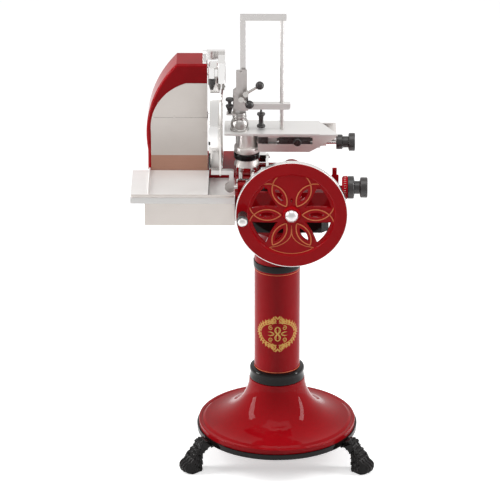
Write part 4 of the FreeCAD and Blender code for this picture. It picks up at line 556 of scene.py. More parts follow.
class Bench:
    """The ways in which small pieces are modelled. Each leaves its piece active and selected."""

    @staticmethod
    def clear() -> None:
        """Deselects everything and leaves edit mode."""
        if bpy.context.object and bpy.context.object.mode != "OBJECT":
            bpy.ops.object.mode_set(mode="OBJECT")
        bpy.ops.object.select_all(action="DESELECT")

    @staticmethod
    def weld(outwards: bool = True) -> None:
        """Joins the active piece's doubled points.

        Args:
            outwards: Whether its faces are then turned outwards.
        """
        bpy.ops.object.mode_set(mode="EDIT")
        bpy.ops.mesh.select_all(action="SELECT")
        bpy.ops.mesh.remove_doubles(threshold=DOUBLED)
        if outwards:
            bpy.ops.mesh.normals_make_consistent(inside=False)
        bpy.ops.object.mode_set(mode="OBJECT")

    @staticmethod
    def modify(name: str, kind: str, **settings: object) -> None:
        """Applies a modifier to the active piece.

        Args:
            name: The modifier's name.
            kind: Its type.
            settings: Its properties.
        """
        modifier = bpy.context.object.modifiers.new(name, kind)
        for key, value in settings.items():
            setattr(modifier, key, value)
        bpy.ops.object.modifier_apply(modifier=name)

    @staticmethod
    def at(across: float, back: float, up: float) -> Vector:
        """A point in the frame from millimetres off the column's axis and the floor."""
        axis = middle("column")
        return Vector((axis.x + across / 1000, axis.y + back / 1000, up / 1000))

    @classmethod
    def bead(cls, tracks: Sequence[Track], proud: float, sides: int = 2) -> bpy.types.Object:
        """Models painted lines as flat beads along tracks in the XY plane.

        Args:
            tracks: Lists of points (u, v, half width).
            proud: Half the bead's height.
            sides: Roundness of the bead's section.

        Returns:
            The mesh object.
        """
        cls.clear()
        bpy.ops.curve.primitive_nurbs_path_add()
        curve = bpy.context.object.data
        curve.splines.clear()
        for track in tracks:
            spline = curve.splines.new("POLY")
            spline.points.add(len(track) - 1)
            for point, (u, v, half) in zip(spline.points, track):
                point.co = (u, v, 0, 1)
                point.radius = half
        curve.bevel_depth = 1.0
        curve.bevel_resolution = sides
        curve.use_fill_caps = True
        bpy.ops.object.convert(target="MESH")
        strip = bpy.context.object
        widest = max(half for track in tracks for _, _, half in track)
        for vertex in strip.data.vertices:
            vertex.co.z *= proud / widest
        return strip

    @classmethod
    def turned(cls, foot: Vector, profile: Profile, sides: int = 40) -> bpy.types.Object:
        """Turns an upright piece: a disc extruded and scaled from station to station.

        Args:
            foot: Where the piece's axis starts.
            profile: Radius and height of each station in millimetres.
            sides: Number of sides.

        Returns:
            The mesh object.
        """
        cls.clear()
        bpy.ops.mesh.primitive_circle_add(vertices=sides, radius=profile[0][0] / 1000,
                                          fill_type="NGON", location=(0, 0, profile[0][1] / 1000))
        piece = bpy.context.object
        bpy.ops.object.transform_apply()
        bpy.ops.object.mode_set(mode="EDIT")
        bpy.ops.mesh.select_all(action="SELECT")
        for (radius, height), (last_radius, last_height) in zip(profile[1:], profile):
            step = (0, 0, (height - last_height) / 1000)
            bpy.ops.mesh.extrude_region_move(TRANSFORM_OT_translate={"value": step})
            ratio = radius / last_radius
            bpy.ops.transform.resize(value=(ratio, ratio, 1.0))
        bpy.ops.object.mode_set(mode="OBJECT")
        piece.location = foot
        return piece

    @classmethod
    def block(cls, low: Vector, high: Vector, edge: float) -> None:
        """Models a bar or plate with broken edges between two corners.

        Args:
            low: Its lowest corner.
            high: Its highest corner.
            edge: Width of its broken edges in metres.
        """
        cls.clear()
        bpy.ops.mesh.primitive_cube_add(size=1.0, location=(low + high) / 2,
                                        scale=tuple(high - low))
        bpy.ops.object.transform_apply()
        cls.modify("broken_edges", "BEVEL", width=edge, segments=3)

    @classmethod
    def swept(cls, centre: Vector, radii: Point, sides: Point, angles: Point, edge: float,
              steps: int = 72) -> None:
        """Spins a flat section round an axis that runs across the machine.

        Args:
            centre: The point on the axis where across is 0.
            radii: The section's inner and outer radius in metres.
            sides: Its left and right side.
            angles: First and last angle in degrees, 0 to the back and 90 upwards.
            edge: Width of the broken edges.
            steps: Number of spans.
        """
        cls.clear()
        bpy.ops.mesh.primitive_plane_add(size=1.0, location=(sum(sides) / 2,
                                                             centre.y + sum(radii) / 2, centre.z))
        piece = bpy.context.object
        piece.scale = (sides[1] - sides[0], radii[1] - radii[0], 1)
        bpy.ops.object.transform_apply()
        turn = Matrix.Rotation(math.radians(angles[0]), 4, "X")
        piece.data.transform(Matrix.Translation(centre) @ turn @ Matrix.Translation(-centre))
        bpy.ops.object.mode_set(mode="EDIT")
        bpy.ops.mesh.select_all(action="SELECT")
        bpy.ops.mesh.spin(steps=steps, angle=math.radians(angles[0] - angles[1]), center=centre,
                          axis=(1, 0, 0))
        bpy.ops.object.mode_set(mode="OBJECT")
        cls.weld()
        cls.modify("broken_edges", "BEVEL", width=edge, segments=3)

    @staticmethod
    def bend(piece: bpy.types.Object, mapping: Mapping) -> None:
        """Moves each point of a piece by a mapping from its own plane to the machine.

        Args:
            piece: The mesh object.
            mapping: Takes (across, up, proud) to a point in the frame.
        """
        for vertex in piece.data.vertices:
            vertex.co = mapping(vertex.co.copy())
        piece.data.update()


def curl(centre: Point, radii: Point, angles: Point, halves: Point, steps: int) -> Track:
    """Points of a line that runs round a centre, as a bead's track.

    Args:
        centre: The centre.
        radii: Its first and last radius.
        angles: Its first and last angle in degrees.
        halves: Its first and last half width.
        steps: Number of spans.

    Returns:
        The track's points.
    """
    track = []
    for step in range(steps + 1):
        radius, angle, half = (a + (b - a) * step / steps for a, b in (radii, angles, halves))
        angle = math.radians(angle)
        track.append((centre[0] + radius * math.cos(angle), centre[1] + radius * math.sin(angle),
                      half))
    return track


def arc(centre: Point, radius: float, start: float, end: float, steps: int, half: float) -> Track:
    """An even line along an arc, with its angles in degrees."""
    return curl(centre, (radius, radius), (start, end), (half, half), steps)


def spiral(centre: Point, outer: float, inner: float, start: float, turns: float, half: float,
           steps: int) -> Track:
    """A scroll that winds in and thins out, clockwise where its turns are negative."""
    return curl(centre, (outer, inner), (start, start + 360 * turns), (half, 0.65 * half), steps)


def turned_by(track: Track, degrees: float) -> Track:
    """A track turned about the origin of its plane."""
    cos, sin = math.cos(math.radians(degrees)), math.sin(math.radians(degrees))
    return [(u * cos - v * sin, u * sin + v * cos, half) for u, v, half in track]


def mirrored(track: Track, across: bool = True) -> Track:
    """A track mirrored left to right, or top to bottom if across is False."""
    return [(-u, v, half) if across else (u, -v, half) for u, v, half in track]


# ---------------------------------------------------------------- sub-assemblies


@dataclass
class Assembly:
    """A sub-assembly, whose pieces are modelled over the frame and ride on its bodies."""

    finishes: Finishes

    def finish(self, name: str, body: str, slot: Slot, material: Material | None = None,
               angle: float = 35.0, recalc: bool = False) -> bpy.types.Object:
        """Names the active piece, applies its place, dresses it and lets it ride on a body.

        Args:
            name: The piece's name.
            body: The body that carries it.
            slot: The record's slot that it belongs to.
            material: Its material, if that isn't the slot's.
            angle: Sharpest angle in degrees that is still shaded smooth.
            recalc: Whether its faces are welded and turned outwards first.

        Returns:
            The finished object.
        """
        piece = bpy.context.object
        bpy.ops.object.transform_apply()
        if recalc:
            Bench.weld()
        bpy.ops.object.shade_smooth_by_angle(angle=math.radians(angle))
        piece.name = piece.data.name = name
        piece.data.materials.clear()
        piece.data.materials.append(material or self.finishes.by_slot[slot])
        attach(piece, body)
        log.info("%s rides on %s", name, body)
        Bench.clear()
        return piece


@dataclass
class Flywheel(Assembly):
    """Lining on the flywheel's petals and in the field between the two lower ones."""

    petal_inner: float = 0.031
    petal_outer: float = 0.118
    petal_bend: float = 0.058
    petal_inset: float = 0.0017
    rim_inner: float = 0.134
    web_front: float = 0.022
    petal_lip: float = 0.003
    half: float = 0.0018
    proud: float = 0.0004
    fan_side: Track = ((0.0, -0.036, 0.0008), (0.0, -0.050, 0.0019), (-0.0006, -0.064, 0.0018),
                       (-0.005, -0.0765, 0.0014), (-0.0135, -0.0875, 0.0013),
                       (-0.026, -0.097, 0.0013), (-0.043, -0.105, 0.0013),
                       (-0.066, -0.1095, 0.0013))
    fan_scroll: Point = (-0.0655, -0.1128)
    fan_radius: float = 0.1302
    fan_spread: float = 29.5
    fan_half: float = 0.0013

    def on_face(self, height: float) -> Mapping:
        """A mapping on to the wheel's front.

        Args:
            height: Distance of the face from the wheel's back.

        Returns:
            The mapping.
        """
        centre, back = middle("flywheel"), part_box("flywheel")[1].y

        def mapping(point: Vector) -> Vector:
            """Places a point on the wheel's face."""
            return Vector((centre.x + point.x, back - height - point.z, centre.z + point.y))
        return mapping

    def petal(self, beyond: bool) -> list[Track]:
        """Both edges of the petal at three o'clock.

        Args:
            beyond: Whether they are carried on from its outer tip to the rim instead.

        Returns:
            The two tracks.
        """
        half_length = (self.petal_outer - self.petal_inner) / 2 - self.petal_inset
        centre = (self.petal_outer + self.petal_inner) / 2
        rise = math.sqrt(self.petal_bend ** 2 - half_length ** 2)
        start = math.degrees(math.atan2(rise, half_length))
        end, steps = 180 - start, 26
        if beyond:
            end, steps = start, 10
            while math.hypot(centre + self.petal_bend * math.cos(math.radians(end)),
                             self.petal_bend * math.sin(math.radians(end)) - rise) < self.rim_inner:
                end -= 0.5
        edge = arc((centre, -rise), self.petal_bend, start, end, steps, self.half)
        return [edge, mirrored(edge, False)]

    def fan(self) -> list[Track]:
        """The lined field between the two lower petals.

        Returns:
            Its sides, its scrolls and its foot.
        """
        scroll = spiral(self.fan_scroll, 0.0034, 0.0014, 88, 0.7, 0.0012, 14)
        foot = arc((0, 0), self.fan_radius, -90 - self.fan_spread, -90 + self.fan_spread, 30,
                   self.fan_half)
        return [self.fan_side, mirrored(self.fan_side), scroll, mirrored(scroll), foot]

    def build(self) -> None:
        """Models the lining of the petals and of the web round them."""
        for name, tracks, height in (
                ("petal_gold_lines", [turned_by(track, 60 * k) for k in range(6)
                                      for track in self.petal(False)],
                 self.web_front + self.petal_lip),
                ("web_gold_lines", [turned_by(track, 60 * k) for k in range(4)
                                    for track in self.petal(True)] + self.fan(), self.web_front)):
            Bench.bend(Bench.bead(tracks, self.proud), self.on_face(height))
            self.finish(name, "flywheel", Slot.RED_ENAMEL, self.finishes.lining, 40.0, True)


@dataclass
class Pedestal(Assembly):
    """Rolled collars, lining round the column and base, and scrollwork on the column's front."""

    radius: float = 0.0725
    upper_line: float = 0.6385
    lower_line: float = 0.3035
    neck_line: float = 0.2585
    neck_radius: float = 0.0878
    line_half: float = 0.0008
    line_flatness: float = 0.4
    crest_height: float = 0.438
    crest_width: float = 0.146
    crest_rise: float = 0.112
    crest_bearing: float = 1.5
    crest_weight: float = 1.3
    crest_proud: float = 0.0004
    leaf_angles: tuple[int, ...] = (5, 16, 27, 38, 49, 60, 71)
    lower_collar: Profile = ((70.0, 262.2), (84.6, 262.6), (86.6, 264.6), (87.0, 268.0),
                             (85.6, 273.0), (85.4, 286.0), (86.8, 290.0), (86.8, 295.0),
                             (84.8, 298.4), (78.6, 300.6), (74.2, 301.2), (70.0, 301.4))
    upper_collar: Profile = ((70.0, 645.6), (74.6, 646.0), (75.6, 647.4), (75.8, 652.0),
                             (75.8, 663.0), (75.4, 667.0), (74.0, 668.6), (70.0, 668.8))
    axis: Vector = field(default_factory=lambda: Bench.at(0, 0, 0))

    def line(self, name: str, radius: float, height: float) -> None:
        """Models a line round the column's axis.

        Args:
            name: The piece's name.
            radius: Radius of the surface that it lies on.
            height: Height above the floor.
        """
        Bench.clear()
        bpy.ops.mesh.primitive_torus_add(major_radius=radius, minor_radius=self.line_half,
                                         major_segments=128, minor_segments=8,
                                         location=(self.axis.x, self.axis.y, height))
        for vertex in bpy.context.object.data.vertices:
            out = math.hypot(vertex.co.x, vertex.co.y)
            slim = radius + (out - radius) * self.line_flatness
            vertex.co.x *= slim / out
            vertex.co.y *= slim / out
        self.finish(name, "stand", Slot.RED_ENAMEL, self.finishes.lining, 40.0)

    def wrap(self, point: Vector) -> Vector:
        """Wraps the flat ornament round the column's front.

        Args:
            point: A point of it.

        Returns:
            The point on the column.
        """
        angle = math.radians(-90 + self.crest_bearing) + point.x / self.radius
        out = self.radius + point.z
        return self.axis + Vector((out * math.cos(angle), out * math.sin(angle),
                                   self.crest_height + point.y))

    @staticmethod
    def leaf(root: Vector, along: Vector, sideways: Vector, half: float, steps: int) -> Track:
        """A leaf that swells from its root and bends away to its tip.

        Args:
            root: Its root.
            along: From the root to the tip of the leaf, before it bends.
            sideways: How far its tip bends.
            half: Half its greatest width.
            steps: Number of spans.

        Returns:
            The leaf's track.
        """
        track = []
        for share in (step / steps for step in range(steps + 1)):
            spot = root + along * share + sideways * share ** 2
            swell = math.sin(math.pi * (0.12 + 0.86 * share))
            track.append((spot.x, spot.y, half * swell + 0.0002))
        return track

    def quarter(self) -> list[Track]:
        """A quarter of the wreath: two hoops, two rows of leaves, scrolls and buds.

        Returns:
            The tracks to the upper right.
        """
        wide, tall = self.crest_width / 2, self.crest_rise / 2
        tracks = [[(wide * share * math.cos(a), tall * share * 0.86 * math.sin(a), 0.0009)
                   for a in (math.radians(2 + 6.5 * k) for k in range(14))]
                  for share in (0.93, 0.80)]
        for a in map(math.radians, self.leaf_angles):
            root = Vector((wide * 0.84 * math.cos(a), tall * 0.74 * math.sin(a)))
            lean = Vector((math.cos(a + 1.05), math.sin(a + 1.05)))
            out = Vector((math.cos(a), math.sin(a)))
            tracks.append(self.leaf(root, lean * 0.0115, out * 0.0062, 0.0021, 6))
            tracks.append(self.leaf(root - out * 0.004, lean * 0.009, out * -0.006, 0.0015, 5))
        return tracks + [
            spiral((0.0125, tall * 0.80), 0.0105, 0.0018, -80, 1.6, 0.0013, 30),
            spiral((0.031, tall * 0.66), 0.0095, 0.0016, 200, -1.5, 0.0012, 28),
            spiral((0.009, tall * 0.985), 0.0062, 0.0012, -120, 1.3, 0.001, 22),
            spiral((0.022, tall * 0.36), 0.008, 0.0016, 110, -1.4, 0.0011, 26),
            [(0.0, tall * 0.9, 0.0011), (0.003, tall * 1.0, 0.0017), (0.006, tall * 1.07, 0.0012),
             (0.0075, tall * 1.1, 0.0006)],
            [(wide * 0.86, 0.001, 0.0013), (wide * 0.97, 0.003, 0.0019),
             (wide * 1.04, 0.007, 0.0006)],
            [(0.0, tall * 0.44, 0.001), (0.006, tall * 0.36, 0.0016), (0.009, tall * 0.22, 0.0012),
             (0.0075, tall * 0.08, 0.0007)],
            [(0.0105, 0.0, 0.0006), (0.016, 0.004, 0.0017), (0.023, 0.0065, 0.0014),
             (0.031, 0.0055, 0.0004)],
            [(0.0, 0.0, 0.0016), (0.004, 0.004, 0.0019), (0.0055, 0.010, 0.0011),
             (0.003, 0.0155, 0.0004)],
        ]

    def crest(self) -> None:
        """Models the wreath, the same in its four quarters."""
        tracks = []
        for track in self.quarter():
            track = [(u, v, half * self.crest_weight) for u, v, half in track]
            tracks += [track, mirrored(track), mirrored(track, False),
                       mirrored(mirrored(track), False)]
        Bench.bend(Bench.bead(tracks, self.crest_proud, sides=1), self.wrap)
        self.finish("column_scrollwork", "stand", Slot.RED_ENAMEL, self.finishes.gold, 40.0, True)

    def build(self) -> None:
        """Models the collars, the lines and the scrollwork."""
        rings = [Bench.turned(self.axis, profile, 96)
                 for profile in (self.lower_collar, self.upper_collar)]
        for ring in rings:
            ring.select_set(True)
        bpy.ops.object.join()
        collars = self.finish("rolled_collars", "stand", Slot.BLACK_ENAMEL, recalc=True)
        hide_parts("column_collars")
        self.line("upper_column_line", self.radius, self.upper_line)
        self.line("lower_column_line", self.radius, self.lower_line)
        self.line("base_neck_line", self.neck_radius, self.neck_line)
        self.crest()


@dataclass
class LionPaws(Assembly):
    """The three cast feet, with fur cut in overlapping tufts above the knuckles of four toes."""

    bearings: tuple[float, ...] = (-30.0, 90.0, 210.0)
    root: float = 0.235
    knuckle: float = 0.318
    sole: float = 0.004
    tuft_length: float = 0.0155
    tuft_width: float = 0.0135
    tuft_depth: float = 0.0052
    toe_pitch: float = 0.0145
    toe_depth: float = 0.0055
    grain: float = 0.0022

    def carve(self, flat: Vector, point: Vector, normal: Vector) -> Vector:
        """Where a point of the plain casting goes when it is carved.

        Args:
            flat: The point from the column's axis.
            point: The point.
            normal: The surface's normal there.

        Returns:
            The carved point.
        """
        directions = [(math.cos(math.radians(b)), math.sin(math.radians(b)))
                      for b in self.bearings]
        cos, sin = max(directions, key=lambda d: flat.x * d[0] + flat.y * d[1])
        out, side = flat.x * cos + flat.y * sin, flat.y * cos - flat.x * sin
        if point.z < self.sole or out < self.root:
            return point
        if out > self.knuckle:
            share = min(1.0, (out - self.knuckle) / 0.006)
            groove = abs(math.sin(math.pi * (side / self.toe_pitch)))
            return point - normal * self.toe_depth * share * (1 - groove) ** 1.6
        along = (out - self.root) * 0.72 - (point.z - 0.1) * 0.75
        row = math.floor(along / self.tuft_length)
        for _ in range(2):
            peak = abs(2 * ((side / self.tuft_width + 0.5 * row) % 1.0) - 1)
            lean = along + self.tuft_length * 0.55 * peak
            row = math.floor(lean / self.tuft_length)
        share = lean / self.tuft_length - row
        strands = 0.18 * math.sin(side * 2600 + 5 * share)
        depth = self.tuft_depth * (share ** 1.5 * (1 - peak * 0.4) + strands - 0.55)
        fade = min(1.0, (point.z - self.sole) / 0.01)
        return point + normal * depth * fade

    def build(self) -> None:
        """Carves a finely remeshed copy of the castings."""
        Bench.clear()
        paws = bpy.data.objects.new("carved_paws", frame["nodes"]["lion_paws"].data.copy())
        bpy.context.scene.collection.objects.link(paws)
        bpy.context.view_layer.objects.active = paws
        paws.select_set(True)
        Bench.weld(outwards=False)
        Bench.modify("fine_skin", "REMESH", mode="VOXEL", voxel_size=self.grain)
        Bench.modify("soft_skin", "SMOOTH", iterations=4)
        axis = Bench.at(0, 0, 0)
        moved = [self.carve(vertex.co - axis, vertex.co.copy(), vertex.normal.copy())
                 for vertex in paws.data.vertices]
        for vertex, place in zip(paws.data.vertices, moved):
            vertex.co = place
        paws.data.update()
        self.finish("carved_paws", "stand", Slot.BLACK_ENAMEL, angle=60.0)
        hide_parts("lion_paws")


@dataclass
class Gauge(Assembly):
    """The gauge plate's polished rim round the blade's cutting edge, with black strips of painted
    shade in its two slots.
    """

    radii: Point = (0.158, 0.171)
    angles: Point = (134.5, 233.5)
    left: float = -214.0
    right: float = -174.6
    slot_depth: float = 0.006
    slot_width: float = 5.5
    slots: tuple[tuple[str, Point], ...] = (("gauge_slot_short_painted_shade", (187.5, 191.5)),
                                            ("gauge_slot_long_painted_shade", (202.5, 232.0)))

    def build(self) -> None:
        """Spins the rim and the black strips of painted shade in its slots."""
        centre = middle("blade")
        centre.x = 0
        sides = (Bench.at(self.left, 0, 0).x, Bench.at(self.right, 0, 0).x)
        Bench.swept(centre, self.radii, sides, self.angles, 0.0035)
        self.finish("gauge_rim", "gauge", Slot.POLISHED_STEEL, angle=50.0)
        outer = self.radii[1]
        sides = (Bench.at(self.left - 0.6, 0, 0).x, Bench.at(self.left + self.slot_width, 0, 0).x)
        # Black strips in the rim's slots: painted shade inside them.
        for name, angles in self.slots:
            Bench.swept(centre, (outer - self.slot_depth, outer + 0.0006), sides, angles, 0.0004,
                        18)
            self.finish(name, "gauge", Slot.BLACK_PHENOLIC, angle=50.0)


@dataclass
class Press(Assembly):
    """The meat press's turned foot and knobs."""

    spool: Profile = ((12.6, 0), (13.2, 1.2), (13.2, 5.4), (12.4, 7.2), (8.6, 9.4), (7.4, 14),
                      (7.2, 24), (7.6, 33), (8.8, 38), (12.0, 40.2), (13.2, 41.6), (13.2, 45.4),
                      (12.2, 47.2), (4.0, 48.6), (3.4, 50.4), (3.4, 61.7))
    cone: Profile = ((4.2, 0), (4.8, 1), (6.2, 5), (9.6, 14), (12.2, 20), (12.9, 22.6),
                     (12.2, 24.6), (6.4, 27), (5.6, 30), (5.6, 34), (6.6, 37), (11.8, 39.6),
                     (12.9, 41), (12.9, 45.2), (12.0, 47.4), (7.0, 48.9))
    bell: Profile = ((29.4, 0), (29.8, 1.4), (29.8, 4.6), (28.0, 6.4), (26.2, 7.4), (26.0, 9.4),
                     (27.6, 12), (28.2, 18), (27.4, 25), (25.0, 31), (22.0, 35.4), (19.6, 37.2),
                     (19.4, 39), (22.2, 41), (22.8, 43.6), (22.2, 46.2), (19.8, 48), (19.4, 50.4),
                     (21.2, 52.4), (21.2, 56), (20.0, 57.9))

    def build(self) -> None:
        """Turns each piece over the node that it replaces."""
        for node, name, profile, body, slot, material in (
                ("hanging_knob", "hanging_knob_spool", self.spool, "holding_knob",
                 Slot.BLACK_PHENOLIC, None),
                ("side_knob", "side_knob_cone", self.cone, "sleeve_knob", Slot.BLACK_PHENOLIC,
                 None),
                ("press_foot", "press_foot_bell", self.bell, "table", Slot.POLISHED_STEEL,
                 self.finishes.lathed)):
            foot = middle(node)
            foot.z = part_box(node)[0].z
            Bench.turned(foot, profile)
            piece = self.finish(name, body, slot, material, recalc=True)
            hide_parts(node)


@dataclass
class Table(Assembly):
    """Trims of the tray, side box, deflector and dial, the carriage's covers, and black blocks of
    painted shade in the carriage's slots.
    """

    pillar: Point = (-97.0, 66.0)
    upper_cover: Profile = ((39.0, 1006.2), (39.4, 1007.0), (39.4, 1023.5), (38.6, 1025.2))
    lower_cover: Profile = ((39.0, 961.2), (39.6, 962.4), (38.4, 968.0), (35.6, 976.0),
                            (35.0, 983.6))
    slots: tuple[tuple[str, float, float], ...] = (("slide_slot_long_painted_shade", 4.0, 103.0),
                                                   ("slide_slot_short_painted_shade", -61.0, -30.0))
    slot_depth: Point = (33.9, 36.0)
    slot_height: Point = (1043.0, 1065.0)
    painted_light_low: Triple = (-214, -145.5, 915.2)
    painted_light_high: Triple = (-133, 58, 917.6)
    dial_steps: int = 30
    dial_inset: float = 0.0085
    mark_low: Triple = (-0.0035, -0.0005, -0.001)
    mark_high: Triple = (0.0035, 0.0005, 0.0003)
    seam_height: float = 1.1125
    seam_half: float = 0.0005
    seam_inset: float = 0.009

    def dial_marks(self) -> None:
        """Models one mark on the thickness dial's rim and repeats it round the dial."""
        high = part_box("thickness_dial")[1]
        centre = middle("thickness_dial")
        centre.x = high.x - self.dial_inset
        top = Vector((centre.x, centre.y, high.z))
        Bench.block(top + Vector(self.mark_low), top + Vector(self.mark_high), 0.0001)
        bpy.ops.object.mode_set(mode="EDIT")
        bpy.ops.mesh.select_all(action="SELECT")
        bpy.ops.mesh.spin(steps=self.dial_steps, dupli=True, angle=2 * math.pi, center=centre,
                          axis=(1, 0, 0))
        bpy.ops.object.mode_set(mode="OBJECT")
        self.finish("dial_marks", "thickness", Slot.RED_DIAL, self.finishes.pale, recalc=True)

    def plates(self) -> None:
        """Models the tray's lip, whose darker steel paints shade on it, and a pale plate on the side
        box's top, which paints light on it.
        """
        low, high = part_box("receiving_tray")
        # The tray's lip in the darker steel: painted shade that draws a line along the tray's front
        # edge.
        Bench.block(Vector((low.x + 0.002, low.y - 0.0015, high.z - 0.0085)),
                    Vector((high.x - 0.002, low.y + 0.004, high.z + 0.0005)), 0.002)
        self.finish("tray_lip_painted_shade", "stand", Slot.BRUSHED_STEEL, self.finishes.box)
        # A pale plate in the tray's bright steel over the side box's top: painted light on the top.
        Bench.block(Bench.at(*self.painted_light_low), Bench.at(*self.painted_light_high), 0.0006)
        self.finish("box_top_painted_light", "stand", Slot.BRUSHED_STEEL, self.finishes.tray)

    def seam(self) -> None:
        """Models the deflector's seam."""
        low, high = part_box("deflector")
        Bench.block(Vector((low.x + self.seam_inset, low.y - 0.0004,
                            self.seam_height - self.seam_half)),
                    Vector((high.x - 0.001, low.y + 0.002, self.seam_height + self.seam_half)),
                    0.0003)
        self.finish("deflector_seam", "stand", Slot.BRUSHED_STEEL, self.finishes.upright)

    def build(self) -> None:
        """Models the trims."""
        self.plates()
        self.dial_marks()
        self.seam()
        for name, profile in (("pillar_cover_upper", self.upper_cover),
                              ("pillar_cover_lower", self.lower_cover)):
            Bench.turned(Bench.at(*self.pillar, 0), profile)
            self.finish(name, "carriage", Slot.BRUSHED_STEEL, self.finishes.satin, recalc=True)
        (front, back), (bottom, top) = self.slot_depth, self.slot_height
        # Black blocks in the carriage's slide slots: painted shade inside the slots.
        for name, left, right in self.slots:
            Bench.block(Bench.at(left, front, bottom), Bench.at(right, back, top), 0.0008)
            self.finish(name, "carriage", Slot.BLACK_PHENOLIC)


# ---------------------------------------------------------------- studio


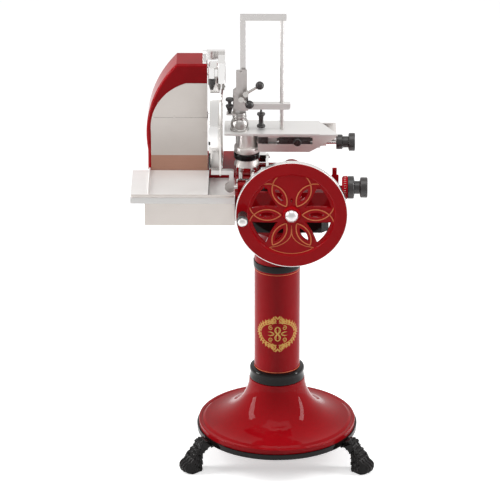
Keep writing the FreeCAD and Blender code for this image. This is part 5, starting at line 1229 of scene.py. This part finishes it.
@dataclass
class Studio:
    """Pale floor and surroundings, soft lamps and the camera."""

    aside: float = -0.086
    height: float = 0.696
    distance: float = 14.0
    elevation: float = 23.07
    azimuth: float = 0.45
    lens: float = 320.0
    floor_glow: float = 0.5
    floor_bounce: float = 0.5
    softness: float = 0.45
    lamps: tuple[tuple[str, Triple, Triple, Point, float], ...] = (
        ("left_softbox", (-2.7, -0.15, 1.7), (0, 0, 0.8), (0.8, 2.6), 72.0),
        ("right_softbox", (2.7, -0.15, 1.7), (0.1, 0, 0.8), (0.5, 2.6), 56.0),
        ("top_softbox", (0.1, -0.6, 3.4), (0, 0, 0.7), (2.2, 1.6), 20.0))

    def floor_material(self) -> Material:
        """A floor that shows white to the camera and in reflections, and keeps the shadow.

        Returns:
            The finished material.
        """
        mix = Recipe("studio_floor")
        mix.set(Base_Color=(0.93, 0.93, 0.93, 1), Roughness=0.6, Specular_IOR_Level=0.1)
        rays = mix.add("ShaderNodeLightPath").outputs
        shown = mix.math("MAXIMUM", rays["Is Camera Ray"], rays["Is Glossy Ray"])
        plain = mix.add("ShaderNodeBsdfDiffuse", Color=(*(self.floor_bounce,) * 3, 1))
        glow = mix.add("ShaderNodeEmission", Strength=self.floor_glow)
        bright = mix.add("ShaderNodeAddShader", mix.shader, glow)
        mix.feed(mix.output, {"Surface": mix.add("ShaderNodeMixShader", shown, plain, bright)})
        return mix.material

    def floor(self) -> None:
        """Lays the floor."""
        Bench.clear()
        bpy.ops.mesh.primitive_plane_add(size=60)
        ground = bpy.context.object
        ground.name = "studio_floor"
        ground.data.materials.append(self.floor_material())

    def surroundings(self) -> None:
        """Makes the world: white to the camera and in reflections, dimmer in front, else soft."""
        world = bpy.data.worlds.new("studio_world")
        bpy.context.scene.world = world
        world.use_nodes = True
        sky = Nodes(world.node_tree)
        rays = sky.add("ShaderNodeLightPath").outputs
        where = sky.add("ShaderNodeTexCoord").outputs["Generated"]
        depth = sky.add("ShaderNodeSeparateXYZ", where).outputs["Y"]
        front = sky.add("ShaderNodeMapRange", settings={"interpolation_type": "SMOOTHERSTEP"},
                        Value=depth, From_Min=-0.45, From_Max=-0.97, To_Min=0.95, To_Max=0.8)
        soft = sky.add("ShaderNodeBackground", Color=WHITE, Strength=self.softness)
        mirror = sky.add("ShaderNodeBackground", Color=(1, 0.99, 0.98, 1), Strength=front)
        seen = sky.add("ShaderNodeBackground", Color=WHITE)
        clear = sky.math("MAXIMUM", rays["Is Glossy Ray"], rays["Is Transmission Ray"])
        lit = sky.add("ShaderNodeMixShader", clear, soft, mirror)
        sky.add("ShaderNodeOutputWorld",
                Surface=sky.add("ShaderNodeMixShader", rays["Is Camera Ray"], lit, seen))

    @staticmethod
    def lamp(name: str, place: Triple, aim: Triple, size: Point, power: float) -> None:
        """Hangs a soft lamp.

        Args:
            name: The lamp's name.
            place: Where it hangs.
            aim: The point that it faces.
            size: Width and height of its face.
            power: Its power in watts.
        """
        Bench.clear()
        bpy.ops.object.light_add(type="AREA", location=place)
        lamp = bpy.context.object
        lamp.name = name
        lamp.data.shape = "RECTANGLE"
        lamp.data.size, lamp.data.size_y = size
        lamp.data.energy = power
        lamp.rotation_euler = (Vector(aim) - Vector(place)).to_track_quat("-Z", "Y").to_euler()

    def camera(self) -> None:
        """Sets up the camera."""
        Bench.clear()
        bpy.ops.object.camera_add()
        camera = bpy.context.object
        camera.name = "studio_camera"
        azimuth, elevation = math.radians(self.azimuth), math.radians(self.elevation)
        away = Vector((math.sin(azimuth) * math.cos(elevation),
                       -math.cos(azimuth) * math.cos(elevation), math.sin(elevation)))
        target = Bench.at(0, 0, 0) + Vector((self.aside, 0, self.height))
        camera.location = target + away * self.distance
        camera.rotation_euler = (-away).to_track_quat("-Z", "Y").to_euler()
        camera.data.sensor_width = 36.0
        camera.data.lens = self.lens
        camera.data.clip_end = 100.0
        bpy.context.scene.camera = camera

    def build(self) -> None:
        """Builds the studio."""
        self.floor()
        self.surroundings()
        for lamp in self.lamps:
            self.lamp(*lamp)
        self.camera()
        bpy.context.scene.view_settings.view_transform = "Standard"


# ---------------------------------------------------------------- the whole machine


class Slicer:
    """The whole machine: its finishes and the pieces over its frame."""

    ball = 0.0135

    def __init__(self) -> None:
        """Builds the finishes."""
        self.finishes = Finishes()

    def own_finishes(self) -> dict[str, Material]:
        """The finishes of nodes that don't take their slot's.

        Returns:
            The material of each such node.
        """
        of = self.finishes
        # The flywheel takes the brighter red, painted light on it.
        # The side box takes the darker steel, painted shade on its front.
        own = {"blade": of.blade, "flywheel": of.wheel, "side_box": of.box, "deflector": of.box,
               "press_sleeve": of.sleeve, "slide_lock_knob": of.by_slot[Slot.BLACK_PHENOLIC]}
        for material, nodes in ((of.faced, ("hub_cap", "handle_spindle")),
                                (of.tray, ("receiving_tray", "meat_table", "press_arm")),
                                (of.upright, ("press_frame", "gauge_arm")),
                                (of.satin, ("carriage_frame", "carriage_pillars"))):
            own.update(dict.fromkeys(nodes, material))
        for lever in ("upper_lever", "lower_lever"):
            low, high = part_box(lever)
            height = high.z - self.ball if lever == "upper_lever" else low.z + self.ball
            centre = (high.x - self.ball, low.y + self.ball, height)
            own[lever] = of.make(BallLever(lever + "_steel", centre=centre))
        return own

    def dress(self) -> None:
        """Gives every solid of the frame its own finish or that of its slot."""
        own = self.own_finishes()
        for part in frame["record"]["subparts"]:
            node = frame["nodes"][part["node"]]
            material = own.get(part["node"], self.finishes.by_slot[Slot(part["material_slot"])])
            node.data.materials.clear()
            node.data.materials.append(material)
            log.info("%s: %s", part["node"], material.name)

    def build(self) -> None:
        """Dresses the frame and models the pieces on it."""
        self.dress()
        for assembly in (Flywheel, Pedestal, LionPaws, Gauge, Press, Table):
            assembly(self.finishes).build()


def main() -> None:
    """Builds the machine and the studio."""
    logging.basicConfig(level=logging.INFO, format="%(name)s: %(message)s")
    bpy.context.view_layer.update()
    Slicer().build()
    Studio().build()


if __name__ == "__main__":
    main()
